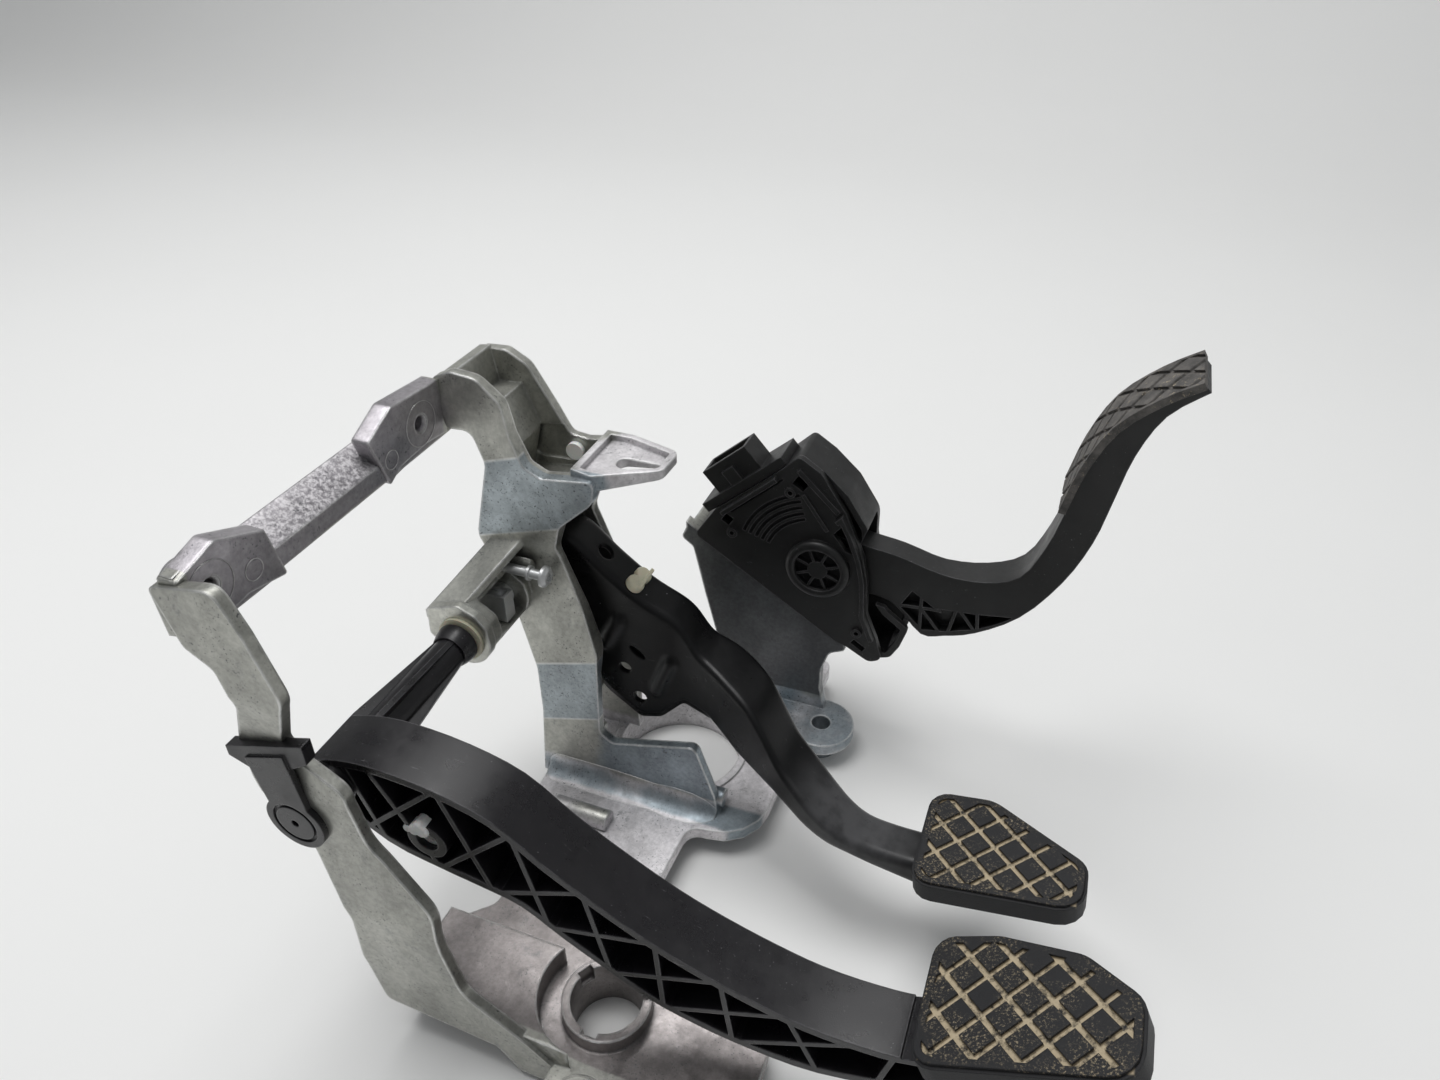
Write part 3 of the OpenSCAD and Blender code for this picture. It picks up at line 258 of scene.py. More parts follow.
class PlasticLook(bpy.types.PropertyGroup):
    """Moulded plastic of the pedals, the bushes and the sensor"""

    clutch: colour("Clutch", "Glass-filled plastic of the clutch pedal", (0.0080, 0.0072, 0.0090))
    accelerator: colour("Accelerator", "Matt plastic of the accelerator", (0.0085, 0.0085, 0.0088))
    # Scuff: grey of scratches and dust specks, and the painted highlight along open edges
    scuff_and_highlight: colour("Scuff", "Grey of rubbed edges and scratches", (0.17, 0.165, 0.175))
    nylon: colour("Nylon", "Cream nylon of the bushes", (0.70, 0.66, 0.50))
    white: colour("White", "White plug and rod socket", (0.82, 0.82, 0.80))
    board: colour("Board", "Green board of the sensor", (0.02, 0.10, 0.05))
    track: colour("Track", "Paler green over the board's tracks", (0.03, 0.17, 0.08))


class SteelLook(bpy.types.PropertyGroup):
    """Painted and plated steel"""

    paint: colour("Paint", "Black dip paint of the brake pedal", (0.005, 0.005, 0.0055))
    chip: colour("Chip", "Bare steel in the chips", (0.32, 0.32, 0.33))
    zinc: colour("Zinc", "Zinc plate of the screws and pins", (0.76, 0.77, 0.77))
    gilt: colour("Gilt", "Gilt contacts of the connector", (0.75, 0.60, 0.30))
    sheet: length("Sheet", "Thickness of the brake pedal's sheet", 0.003)
    bend: length("Bend", "Radius of the brake pedal's bends", 0.0042)


class RubberLook(bpy.types.PropertyGroup):
    """Rubber of the pads"""

    rubber: colour("Rubber", "Black rubber", (0.013, 0.013, 0.0145))
    dust: colour("Dust", "Tan dust in the grooves", (0.54, 0.45, 0.31))
    worn: colour("Worn", "Greyed face of the accelerator's pad", (0.16, 0.15, 0.14))


class StageLook(bpy.types.PropertyGroup):
    """Floor, light and camera"""

    floor: colour("Floor", "Pale floor and backdrop", (0.86, 0.86, 0.85))
    sky: colour("Sky", "Light from above", (0.96, 0.98, 1.0))
    horizon: colour("Horizon", "Light from the sides", (0.20, 0.205, 0.21))
    haze: colour("Haze", "Pale surroundings that the camera sees past the floor", (0.70, 0.70, 0.695))
    sky_strength: FloatProperty(
        name="Sky strength", description="Strength of the light from all round", min=0.0, default=0.46)
    lamp_power: FloatProperty(
        name="Lamp power", description="Power of the soft lamp overhead", subtype="POWER", unit="POWER",
        min=0.0, default=36.0)
    eye: FloatVectorProperty(
        name="Eye", description="Place of the camera", subtype="TRANSLATION", unit="LENGTH", size=3,
        default=(0.1674, -0.3718, 0.4500))
    gaze: FloatVectorProperty(
        name="Gaze", description="Direction in which the camera looks", subtype="DIRECTION", size=3,
        default=(-0.2934, 0.7605, -0.5793))
    lens: FloatProperty(
        name="Lens", description="Focal length in millimetres on a 36 mm sensor", min=1.0, default=25.7)


class PedalBoxLook(bpy.types.PropertyGroup):
    """All settings of the pedal box"""

    casting: PointerProperty(type=CastingLook)
    plastic: PointerProperty(type=PlasticLook)
    steel: PointerProperty(type=SteelLook)
    rubber: PointerProperty(type=RubberLook)
    stage: PointerProperty(type=StageLook)


class Finish:
    """Shader nodes of one procedural finish."""

    def __init__(self, name, **sockets):
        self.material = bpy.data.materials.new(name)
        self.material.use_nodes = True
        self.tree = self.material.node_tree
        self.shader = self.tree.nodes["Principled BSDF"]
        self.fill(self.shader, sockets)
        self.place = self.node("TexCoord").outputs["Object"]

    def node(self, kind, **sockets):
        """New shader node with its inputs."""
        node = self.tree.nodes.new("ShaderNode" + kind)
        self.fill(node, sockets)
        return node

    def fill(self, node, sockets):
        """Link or set a node's inputs by name."""
        for key, value in sockets.items():
            self.put(node.inputs[key.replace("_", " ")], value)

    def put(self, socket, value):
        """Link a socket to another, or set its own value."""
        if isinstance(value, bpy.types.NodeSocket):
            self.tree.links.new(value, socket)
        elif socket.type == "RGBA":
            socket.default_value = (*value[:3], 1.0)
        else:
            socket.default_value = value

    def set(self, socket, value):
        """Link or set a socket of the shader."""
        self.put(self.shader.inputs[socket], value)

    def noise(self, scale, detail=3.0, rough=0.55, place=None):
        """Noise from 0 to 1, scale in cells a metre."""
        node = self.node("TexNoise", Vector=place or self.place, Scale=scale, Detail=detail, Roughness=rough)
        return node.outputs["Fac"]

    def stretched(self, scale, turn=(0.0, 0.0, 0.0)):
        """Place stretched along the axes, for scratches."""
        angles = [math.radians(a) for a in turn]
        return self.node("Mapping", Vector=self.place, Scale=scale, Rotation=angles).outputs["Vector"]

    def span(self, value, low, high, to_low=0.0, to_high=1.0):
        """Value mapped from one range to another and clamped."""
        node = self.node("MapRange", Value=value, From_Min=low, From_Max=high, To_Min=to_low, To_Max=to_high)
        node.interpolation_type = "SMOOTHSTEP"
        return node.outputs["Result"]

    def mix(self, share, first, second, mode="MIX"):
        """Colour between two colours."""
        node = self.node("Mix")
        node.data_type = "RGBA"
        node.blend_type = mode
        self.put(node.inputs[0], share)
        self.put(node.inputs[6], first)
        self.put(node.inputs[7], second)
        return node.outputs[2]

    def shade(self, tint, factor):
        """Colour made lighter or darker by a factor."""
        node = self.node("VectorMath")
        node.operation = "SCALE"
        self.put(node.inputs[0], tint)
        self.put(node.inputs["Scale"], factor)
        return node.outputs[0]

    def step(self, node, operation, first, second):
        """Outputs of one arithmetic node."""
        node.operation = operation
        self.put(node.inputs[0], first)
        self.put(node.inputs[1], second)
        return node.outputs

    def sums(self, operation, first, second):
        """One arithmetic step on numbers."""
        return self.step(self.node("Math"), operation, first, second)[0]

    def vectors(self, operation, first, second):
        """One arithmetic step on vectors."""
        return self.step(self.node("VectorMath"), operation, first, second)

    def both(self, mask, *others):
        """Where all masks meet: their product."""
        for other in others:
            mask = self.sums("MULTIPLY", mask, other)
        return mask

    def either(self, mask, *others):
        """Where any mask is: their greatest value."""
        for other in others:
            mask = self.sums("MAXIMUM", mask, other)
        return mask

    def along(self, origin, direction):
        """Distance of a point from a plane through the origin, in metres."""
        away = self.vectors("SUBTRACT", self.place, origin)["Vector"]
        return self.vectors("DOT_PRODUCT", away, direction)["Value"]

    def near(self, centre, full, none):
        """1 close to a place in millimetres, 0 far from it, with distances in metres."""
        distance = self.vectors("DISTANCE", self.place, [c * MM for c in centre])["Value"]
        return self.span(distance, none, full)

    def facing(self, direction):
        """How far a face looks along a direction of the piece, from -1 to 1."""
        turn = self.node("VectorTransform", Vector=self.node("NewGeometry").outputs["True Normal"])
        turn.vector_type = "NORMAL"
        turn.convert_from = "WORLD"
        turn.convert_to = "OBJECT"
        return self.vectors("DOT_PRODUCT", turn.outputs[0], direction)["Value"]

    def openness(self, distance):
        """1 on open faces and outer edges, less in corners."""
        node = self.node("AmbientOcclusion", Distance=distance)
        node.samples = RAYS
        return node.outputs["AO"]

    def soft_edge(self, radius):
        """Normal rounded over the edges."""
        node = self.node("Bevel", Radius=radius)
        node.samples = RAYS
        return node.outputs["Normal"]

    def edge_share(self, normal):
        """How far the rounded normal leaves the flat one: 0 on a face, more on an edge."""
        flat = self.node("NewGeometry").outputs["Normal"]
        return self.span(self.vectors("DOT_PRODUCT", normal, flat)["Value"], 0.995, 0.87)

    def bump(self, height, distance, strength, normal):
        """Relief of a height from 0 to 1, distance in metres, over a normal."""
        node = self.node("Bump", Strength=strength, Distance=distance, Height=height, Normal=normal)
        self.set("Normal", node.outputs["Normal"])


def cheek_folds(f):
    """Height up the near cheek's folds, the cheek itself, and the two bands on it where painted shade stands
    in for the folds' facets.
    """
    turn = math.radians(FOLD_TURN)
    height = f.along(ORIGIN, (-math.sin(turn), 0.0, math.cos(turn)))
    aside = f.sums("ABSOLUTE", f.along(CHEEK_MIDDLE, ACROSS), 0.0)
    cheek = f.both(f.span(aside, 0.0042, 0.0038), f.near(*NEAR_CHEEK))
    fold_shade = 0.0
    for start, end in (FOLDS[:2], FOLDS[2:]):
        inside = f.both(f.span(height, start * MM - FOLD_BLUR, start * MM + FOLD_BLUR),
                        f.span(height, end * MM + FOLD_BLUR, end * MM - FOLD_BLUR))
        fold_shade = f.either(fold_shade, f.both(inside, cheek))
    return height, cheek, fold_shade


def casting_regions(f, across):
    """Masks of the base plate and tongue that painted light brightens, the bluish patches, the bar, the
    base's left end and the tower's faces that painted shade darkens.
    """
    up = f.along(ORIGIN, UP)
    base = f.both(f.span(up, 0.033, 0.020), f.span(across, -0.125, -0.100))
    base = f.either(base, f.near(*LIT_TONGUE))
    bar = f.both(f.near(*CROSS_BAR), f.span(across, -0.1830, -0.1815))
    left = f.both(f.span(across, -0.105, -0.125), f.span(across, -0.1830, -0.1800), f.span(up, 0.075, 0.060))
    shore = f.both(f.span(across, -0.0495, -0.0450), f.span(across, -0.028, -0.033))
    cool = f.both(f.near(*CHEEK_FOOT), f.span(base, 0.5, 0.1))
    cool = f.either(cool, f.both(shore, base, 0.62), f.both(f.near(*FAR_EAR), 0.62))
    # Painted shade: the tower's faces other than its sloped one are darkened
    tower = f.both(f.near(*SHADED_TOWER), f.span(base, 0.6, 0.2), f.span(f.facing(TOWER_FACE), 0.85, 0.6))
    return base, cool, bar, left, tower


def cast_aluminium(look):
    """Die-cast aluminium: skins of its regions, flow marks, specks, folds and grain, with painted light on
    the base, tongue, bearing and cap, painted shade on the tower, side arm, fold bands and corners, and
    painted highlight on edges and fold lines.
    """
    f = Finish("cast_aluminium", Metallic=0.78)
    normal = f.soft_edge(look.rim)
    height, cheek, fold_shade = cheek_folds(f)
    across = f.along(ORIGIN, ACROSS)
    masks = casting_regions(f, across)
    base, bar = masks[0], masks[2]
    wander = f.span(f.noise(26.0, 4.0, 0.6), 0.25, 0.75, -0.24, 0.24)
    skin = look.metal
    # Tints of the regions; the base's pale tint is painted light and the tower's dark tint is painted shade
    for mask, tint in zip(masks, (look.base, look.cool, look.warm, look.brown, look.tower)):
        skin = f.mix(f.span(f.sums("ADD", mask, wander), 0.25, 0.75), skin, tint)
    # Painted shade: the fold bands take a bluish tint that stands in for the light on the folds' facets
    skin = f.mix(f.both(fold_shade, 0.8), skin, f.shade(look.cool, 1.10))
    flow = f.noise(34.0, 6.0, 0.66, f.stretched((1.0, 0.45, 0.7), (15.0, 0.0, 35.0)))
    skin = f.shade(skin, f.span(flow, 0.30, 0.70, 0.72, 1.12))
    skin = f.shade(skin, f.span(f.noise(420.0, 4.0, 0.65), 0.30, 0.70, 0.86, 1.09))
    stains = f.span(f.noise(150.0, 7.0, 0.78, f.stretched((1.0, 1.0, 0.6))), 0.56, 0.68, 0.0, 0.45)
    skin = f.mix(stains, skin, f.shade(look.speck_and_shade, 1.6))
    # Painted shade: the side arm, past y -0.178 m, is darkened
    skin = f.shade(skin, f.span(across, -0.1780, -0.1830, 1.0, 0.88))
    # Painted highlight: the bearing housing is brightened
    skin = f.shade(skin, f.span(f.near(*LIT_BEARING), 0.0, 1.0, 1.0, 1.22))
    # Pale flakes on the bar's cap, made brighter by painted light where the cap faces up
    on_cap = f.both(f.span(across, -0.148, -0.145), f.span(across, -0.078, -0.081), bar)
    lit_flakes = f.both(on_cap, f.span(f.noise(520.0, 6.0, 0.8), 0.42, 0.60))
    lit_flakes = f.both(lit_flakes, f.span(f.facing(CAP_FACE), 0.85, 0.95, 0.12, 0.85))
    skin = f.mix(lit_flakes, skin, look.base)
    crowd = f.sums("ADD", f.noise(70.0, 3.0), f.both(fold_shade, 0.12))
    specks = f.both(f.span(f.noise(900.0, 3.0, 0.6), 0.58, 0.70), f.span(crowd, 0.40, 0.62))
    skin = f.mix(specks, skin, look.speck_and_shade)
    # Painted shade: darker in corners and recesses, where the rays meet metal close by
    open_air = f.openness(0.006)
    skin = f.mix(f.span(open_air, 0.85, 0.35, 0.0, 0.40), skin, look.speck_and_shade)
    edge = f.both(f.edge_share(normal), f.span(open_air, 0.80, 0.92))
    # Painted highlight: thin bright lines along the cheek's fold lines
    for fold in FOLDS:
        away = f.sums("ABSOLUTE", f.sums("SUBTRACT", height, fold * MM), 0.0)
        edge = f.either(edge, f.both(cheek, f.span(away, 0.0010, 0.0002, 0.0, 0.4)))
    # Painted highlight on the open edges, broken up by noise
    highlit = f.both(edge, f.span(f.noise(180.0, 3.0), 0.30, 0.60, 0.50, 1.0))
    f.set("Base Color", f.mix(highlit, skin, look.edge))
    dull = f.sums("ADD", f.both(base, 0.16), f.both(lit_flakes, 0.32))
    f.set("Roughness", f.sums("ADD", f.span(f.noise(90.0, 5.0, 0.65), 0.3, 0.7, 0.28, 0.45), dull))
    grain = f.sums("ADD", f.noise(1300.0, 3.0, 0.6), f.noise(260.0, 3.0))
    f.bump(grain, 0.00012, 0.45, normal)
    return f.material


def moulded_plastic(name, base, scuff_and_highlight, rough, sheen):
    """Black moulded plastic with a fine grain, scuffs, dust specks and painted highlight along its open
    edges.
    """
    f = Finish(name, Specular_IOR_Level=sheen)
    normal = f.soft_edge(0.0009)
    cloud = f.span(f.noise(45.0, 5.0, 0.62), 0.3, 0.75, 0.75, 1.6)
    skin = f.mix(1.0, base, f.mix(cloud, (0.0, 0.0, 0.0), (1.0, 1.0, 1.0)), "MULTIPLY")
    scratches = f.noise(60.0, 4.0, 0.7, f.stretched((1.0, 14.0, 3.0), (0.0, 35.0, 20.0)))
    skin = f.mix(f.span(scratches, 0.66, 0.76, 0.0, 0.55), skin, scuff_and_highlight)
    specks = f.both(f.span(f.noise(1100.0, 2.0), 0.70, 0.76), f.span(f.noise(38.0, 3.0), 0.42, 0.62))
    skin = f.mix(specks, skin, scuff_and_highlight)
    # Painted highlight: open edges lightened to the scuff grey
    highlit = f.both(f.edge_share(normal), f.span(f.openness(0.004), 0.75, 0.9),
                    f.span(f.noise(200.0, 3.0), 0.30, 0.65, 0.25, 0.8))
    f.set("Base Color", f.mix(highlit, skin, scuff_and_highlight))
    f.set("Roughness", f.span(f.noise(70.0, 5.0, 0.65), 0.3, 0.7, *rough))
    f.bump(f.noise(2100.0, 3.0, 0.6), 0.00008, 0.5, normal)
    return f.material


def dip_paint(look):
    """Black dip paint on pressed steel, with a painted sheen near the pad and chips down to bare metal."""
    f = Finish("dip_paint", Specular_IOR_Level=0.28)
    normal = f.soft_edge(0.0014)
    chips = f.both(f.span(f.noise(420.0, 2.0), 0.735, 0.76), f.span(f.noise(26.0, 2.0), 0.52, 0.62))
    scrapes = f.noise(70.0, 4.0, 0.7, f.stretched((1.0, 9.0, 6.0), (0.0, 30.0, 10.0)))
    # Painted sheen: the paint greys towards bare steel in a patch near the pad
    dull = f.both(f.near(*PAINT_SHEEN), f.span(f.noise(80.0, 4.0), 0.25, 0.6, 0.4, 1.0))
    coat = f.mix(f.span(scrapes, 0.62, 0.8, 0.0, 0.12), look.paint, look.chip)
    f.set("Base Color", f.mix(chips, f.mix(f.both(dull, 0.2), coat, look.chip), look.chip))
    f.set("Metallic", chips)
    f.set("Roughness", f.span(f.noise(60.0, 5.0, 0.6), 0.3, 0.7, 0.26, 0.42))
    f.bump(f.noise(520.0, 3.0), 0.00009, 0.4, normal)
    return f.material


def inside_outline(f, outline, origin, tilt):
    """Distance of a pad's point from the pad's outline, inwards, in metres."""
    spin = Matrix.Rotation(math.radians(-tilt), 3, "Y")
    least = 1.0
    for here, there in zip(outline, outline[1:] + outline[:1]):
        start = (Vector(origin) + spin @ Vector((here[0], here[1], 0.0))) * MM
        inwards = spin @ Vector((here[1] - there[1], there[0] - here[0], 0.0)).normalized()
        least = f.sums("MINIMUM", least, f.along(start, inwards))
    return least


def pad_rubber(name, look, origin, tilt, outline):
    """Rubber whose grooves hold tan dust."""
    f = Finish(name, Specular_IOR_Level=0.3)
    slope = math.radians(-tilt)
    depth = f.along([c * MM for c in origin], (math.sin(slope), 0.0, math.cos(slope)))
    groove = f.both(f.span(depth, -0.0007, -0.0014), f.span(depth, -0.0030, -0.0022),
                    f.span(inside_outline(f, outline, origin, tilt), 0.0030, 0.0042))
    clumps = f.span(f.noise(260.0, 5.0, 0.7), 0.32, 0.54)
    patch = f.span(f.noise(48.0, 3.0), 0.40, 0.62, 0.0, 0.8)
    film = f.both(f.span(f.noise(950.0, 5.0, 0.8), 0.53, 0.64), f.span(depth, -0.0014, -0.0006), patch)
    dusty = f.either(f.both(groove, clumps), film)
    shade = f.mix(f.noise(600.0, 3.0), [c * 0.7 for c in look.dust], look.dust)
    f.set("Base Color", f.mix(dusty, look.rubber, shade))
    f.set("Roughness", f.span(dusty, 0.0, 0.6, 0.52, 0.95))
    grain = f.sums("ADD", f.noise(1500.0, 4.0, 0.65), f.both(dusty, f.noise(800.0, 4.0, 0.7)))
    f.bump(grain, 0.0002, 0.7, f.soft_edge(0.0008))
    return f.material


def worn_rubber(look):
    """Greyed rubber of the accelerator's pad."""
    f = Finish("worn_rubber", Specular_IOR_Level=0.35)
    film = f.span(f.noise(120.0, 6.0, 0.7), 0.30, 0.72, 0.25, 1.0)
    skin = f.mix(film, look.rubber, look.worn)
    clumps = f.both(f.span(f.noise(520.0, 5.0, 0.7), 0.56, 0.70), f.span(f.noise(40.0, 3.0), 0.4, 0.65))
    f.set("Base Color", f.mix(clumps, skin, look.dust))
    f.set("Roughness", f.span(film, 0.2, 1.0, 0.6, 0.85))
    f.bump(f.noise(1500.0, 4.0, 0.65), 0.00018, 0.6, f.soft_edge(0.0007))
    return f.material


def plated_steel(name, tint, rough):
    """Plated steel with a cloudy sheen."""
    f = Finish(name, Metallic=0.8)
    f.set("Base Color", f.mix(f.noise(160.0, 3.0), [c * 0.85 for c in tint], tint))
    f.set("Roughness", f.span(f.noise(420.0, 4.0), 0.3, 0.7, rough - 0.07, rough + 0.1))
    f.bump(f.noise(1800.0, 3.0), 0.00004, 0.4, f.soft_edge(0.0005))
    return f.material


def pale_nylon(name, tint):
    """Pale moulded nylon, a little see-through and soiled."""
    f = Finish(name, Specular_IOR_Level=0.5, Subsurface_Weight=0.15, Subsurface_Scale=0.002)
    soil = f.span(f.noise(190.0, 5.0, 0.68), 0.45, 0.78, 0.0, 0.55)
    f.set("Base Color", f.mix(soil, tint, [c * 0.55 for c in tint]))
    f.set("Roughness", f.span(f.noise(300.0, 4.0), 0.3, 0.7, 0.34, 0.52))
    f.bump(f.noise(900.0, 3.0), 0.00005, 0.4, f.soft_edge(0.0006))
    return f.material


def circuit_board(look):
    """Green board of the sensor."""
    f = Finish("circuit_board", Roughness=0.4)
    f.set("Base Color", f.mix(f.span(f.noise(500.0, 2.0), 0.5, 0.6), look.board, look.track))
    return f.material


def floor_paint(look):
    """Pale floor with a faint cloud."""
    f = Finish("floor_paint", Roughness=0.75, Specular_IOR_Level=0.2)
    f.set("Base Color", f.mix(f.noise(3.0, 3.0), look.floor, [c * 0.97 for c in look.floor]))
    return f.material


def curve_through(points, steps):
    """Smooth curve through the points of an outline."""
    ends = [points[0], *points, points[-1]]
    curve = []
    for a, b, c, d in zip(ends, ends[1:], ends[2:], ends[3:]):
        for k in range(steps):
            t = k / steps
            curve.append(tuple(
                0.5 * (2 * q + (r - p) * t + (2 * p - 5 * q + 4 * r - s) * t * t
                       + (3 * q - p - 3 * r + s) * t ** 3)
                for p, q, r, s in zip(a, b, c, d)))
    return curve + [tuple(points[-1])]


def reading(line, x):
    """Height of a line over x."""
    for (x0, y0), (x1, y1) in zip(line, line[1:]):
        if x <= x1:
            return y0 + (y1 - y0) * (x - x0) / (x1 - x0)
    return line[-1][1]


def soft_reading(line, x, half):
    """Height of a line over x, with its corners rounded."""
    return sum(reading(line, x + half * k / 3.0) for k in range(-3, 4)) / 7.0


def ramp(value, low, high):
    """Smooth step from 0 to 1."""
    t = min(max((value - low) / (high - low), 0.0), 1.0)
    return t * t * (3.0 - 2.0 * t)


def off_segment(point, first, last):
    """Distance of a point from a segment."""
    p, a, b = Vector(point), Vector(first), Vector(last)
    share = min(max((p - a).dot(b - a) / (b - a).length_squared, 0.0), 1.0)
    return (p - a - share * (b - a)).length


def in_place(place, turn=0.0, axis="Y"):
    """Place in millimetres with a turn in degrees about one axis."""
    return Matrix.Translation([c * MM for c in place]) @ Matrix.Rotation(math.radians(turn), 4, axis)


def linked(name, mesh):
    """New object in the scene."""
    piece = bpy.data.objects.new(name, mesh)
    bpy.context.scene.collection.objects.link(piece)
    return piece


def smoothed(piece, angle):
    """Shade a piece smooth over edges below an angle."""
    piece.data.shade_smooth()
    piece.data.set_sharp_from_angle(angle=math.radians(angle))
    return piece


def fit(piece, material, body):
    """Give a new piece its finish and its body."""
    piece.data.materials.append(material)
    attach(piece, body)


def settle(piece):
    """Apply a piece's modifiers to its mesh."""
    bpy.context.view_layer.update()
    graph = bpy.context.evaluated_depsgraph_get()
    mesh = bpy.data.meshes.new_from_object(piece.evaluated_get(graph))
    piece.modifiers.clear()
    piece.data = mesh


def cut(piece, cutters):
    """Take solids out of a piece."""
    for cutter in cutters:
        step = piece.modifiers.new("cut", "BOOLEAN")
        step.operation = "DIFFERENCE"
        step.solver = "EXACT"
        step.object = cutter
    settle(piece)
    for cutter in cutters:
        bpy.data.objects.remove(cutter)


def drill(place, direction, radius, depth, stretch=1.0, spin=0.0):
    """Round or oval cutter through a place, spun about its axis, in metres."""
    mesh = bpy.data.meshes.new("drill")
    body = bmesh.new()
    bmesh.ops.create_cone(body, cap_ends=True, segments=32, radius1=radius, radius2=radius, depth=depth)
    bmesh.ops.scale(body, vec=(stretch, 1.0, 1.0), verts=body.verts)
    body.to_mesh(mesh)
    body.free()
    turn = Vector(direction).to_track_quat("Z", "Y").to_matrix().to_4x4()
    mesh.transform(Matrix.Translation(place) @ turn @ Matrix.Rotation(math.radians(spin), 4, "Z"))
    return linked("drill", mesh)


def joined(name, meshes):
    """One object made of several meshes."""
    body = bmesh.new()
    for mesh in meshes:
        body.from_mesh(mesh)
        bpy.data.meshes.remove(mesh)
    whole = bpy.data.meshes.new(name)
    body.to_mesh(whole)
    body.free()
    return linked(name, whole)


def grid_mesh(name, rows):
    """Sheet of quads through rows of points, in metres."""
    width = len(rows[0])
    faces = [(i * width + k, (i + 1) * width + k, (i + 1) * width + k + 1, i * width + k + 1)
             for i in range(len(rows) - 1) for k in range(width - 1)]
    mesh = bpy.data.meshes.new(name)
    mesh.from_pydata([p for row in rows for p in row], [], faces)
    return mesh


def tube_faces(rows, count, ring):
    """Quads between the rows of a tube, and from the last row to the first in a ring."""
    return [(i * count + k, i * count + (k + 1) % count,
             (i + 1) % rows * count + (k + 1) % count, (i + 1) % rows * count + k)
            for i in range(rows if ring else rows - 1) for k in range(count)]


def closed_piece(name, points, faces, angle):
    """Object with outward faces, smooth below an angle."""
    mesh = bpy.data.meshes.new(name)
    mesh.from_pydata(points, [], faces)
    body = bmesh.new()
    body.from_mesh(mesh)
    bmesh.ops.recalc_face_normals(body, faces=body.faces)
    body.to_mesh(mesh)
    body.free()
    return smoothed(linked(name, mesh), angle)


def lathe(name, profile, centre, segments=72):
    """Ring turned about an axis along y: closed profile (radius, y) and centre (x, z) in millimetres."""
    points = []
    for k in range(segments):
        a = 2.0 * math.pi * k / segments
        points += [((centre[0] + r * math.cos(a)) * MM, y * MM, (centre[1] + r * math.sin(a)) * MM)
                   for r, y in profile]
    return closed_piece(name, points, tube_faces(segments, len(profile), True), RING_SMOOTH)


def ring_on_x(name, profile, place):
    """Ring turned about an axis along x: closed profile (radius, x) and place (y, z) in millimetres."""
    ring = lathe(name, profile, (-place[0], place[1]))
    ring.data.transform(Matrix.Rotation(math.radians(-90.0), 4, "Z"))
    return ring


def rounded(corners, inset=0.0, steps=6):
    """Points of a counterclockwise outline (x, y, corner radius), moved inwards."""
    outline = []
    for k, (x, y, radius) in enumerate(corners):
        here = Vector((x, y))
        into = (here - Vector(corners[k - 1][:2])).normalized()
        away = (Vector(corners[(k + 1) % len(corners)][:2]) - here).normalized()
        turn = into.angle_signed(away)
        left = Vector((-into.y - away.y, into.x + away.x)) / (1.0 + into.dot(away))
        here += left * inset
        bend = max(radius - inset, 0.5)
        start = here - into * bend * math.tan(abs(turn) / 2.0)
        side = Vector((-into.y, into.x)) * (-1.0 if turn > 0.0 else 1.0)
        for step in range(steps + 1):
            spin = Matrix.Rotation(-turn * step / steps, 2)
            outline.append(tuple(start + side * bend - spin @ (side * bend)))
    return outline


def lobed(lobes, steps=64):
    """Outline round several discs (x, y, radius) that all cover the origin."""
    outline = []
    for k in range(steps):
        turn = 2.0 * math.pi * k / steps
        ray = Vector((math.cos(turn), math.sin(turn)))
        reach = 0.0
        for x, y, r in lobes:
            middle = ray.dot((x, y))
            reach = max(reach, middle + math.sqrt(r * r - x * x - y * y + middle ** 2))
        outline.append(tuple(ray * reach))
    return outline


def moulded(outline, height, rim, place):
    """Solid over an outline in millimetres, with a rounded upper rim, set in place."""
    body = bmesh.new()
    floor = body.faces.new([body.verts.new((x * MM, y * MM, 0.0)) for x, y in outline])
    grown = bmesh.ops.extrude_face_region(body, geom=[floor])["geom"]
    upper = [item for item in grown if isinstance(item, bmesh.types.BMVert)]
    bmesh.ops.translate(body, vec=(0.0, 0.0, height * MM), verts=upper)
    edges = [item for item in grown if isinstance(item, bmesh.types.BMEdge)]
    if rim:
        bmesh.ops.bevel(body, geom=edges, offset=rim * MM, segments=3, profile=0.5, affect="EDGES")
    bmesh.ops.recalc_face_normals(body, faces=body.faces)
    mesh = bpy.data.meshes.new("moulded")
    body.to_mesh(mesh)
    body.free()
    mesh.transform(place)
    return mesh


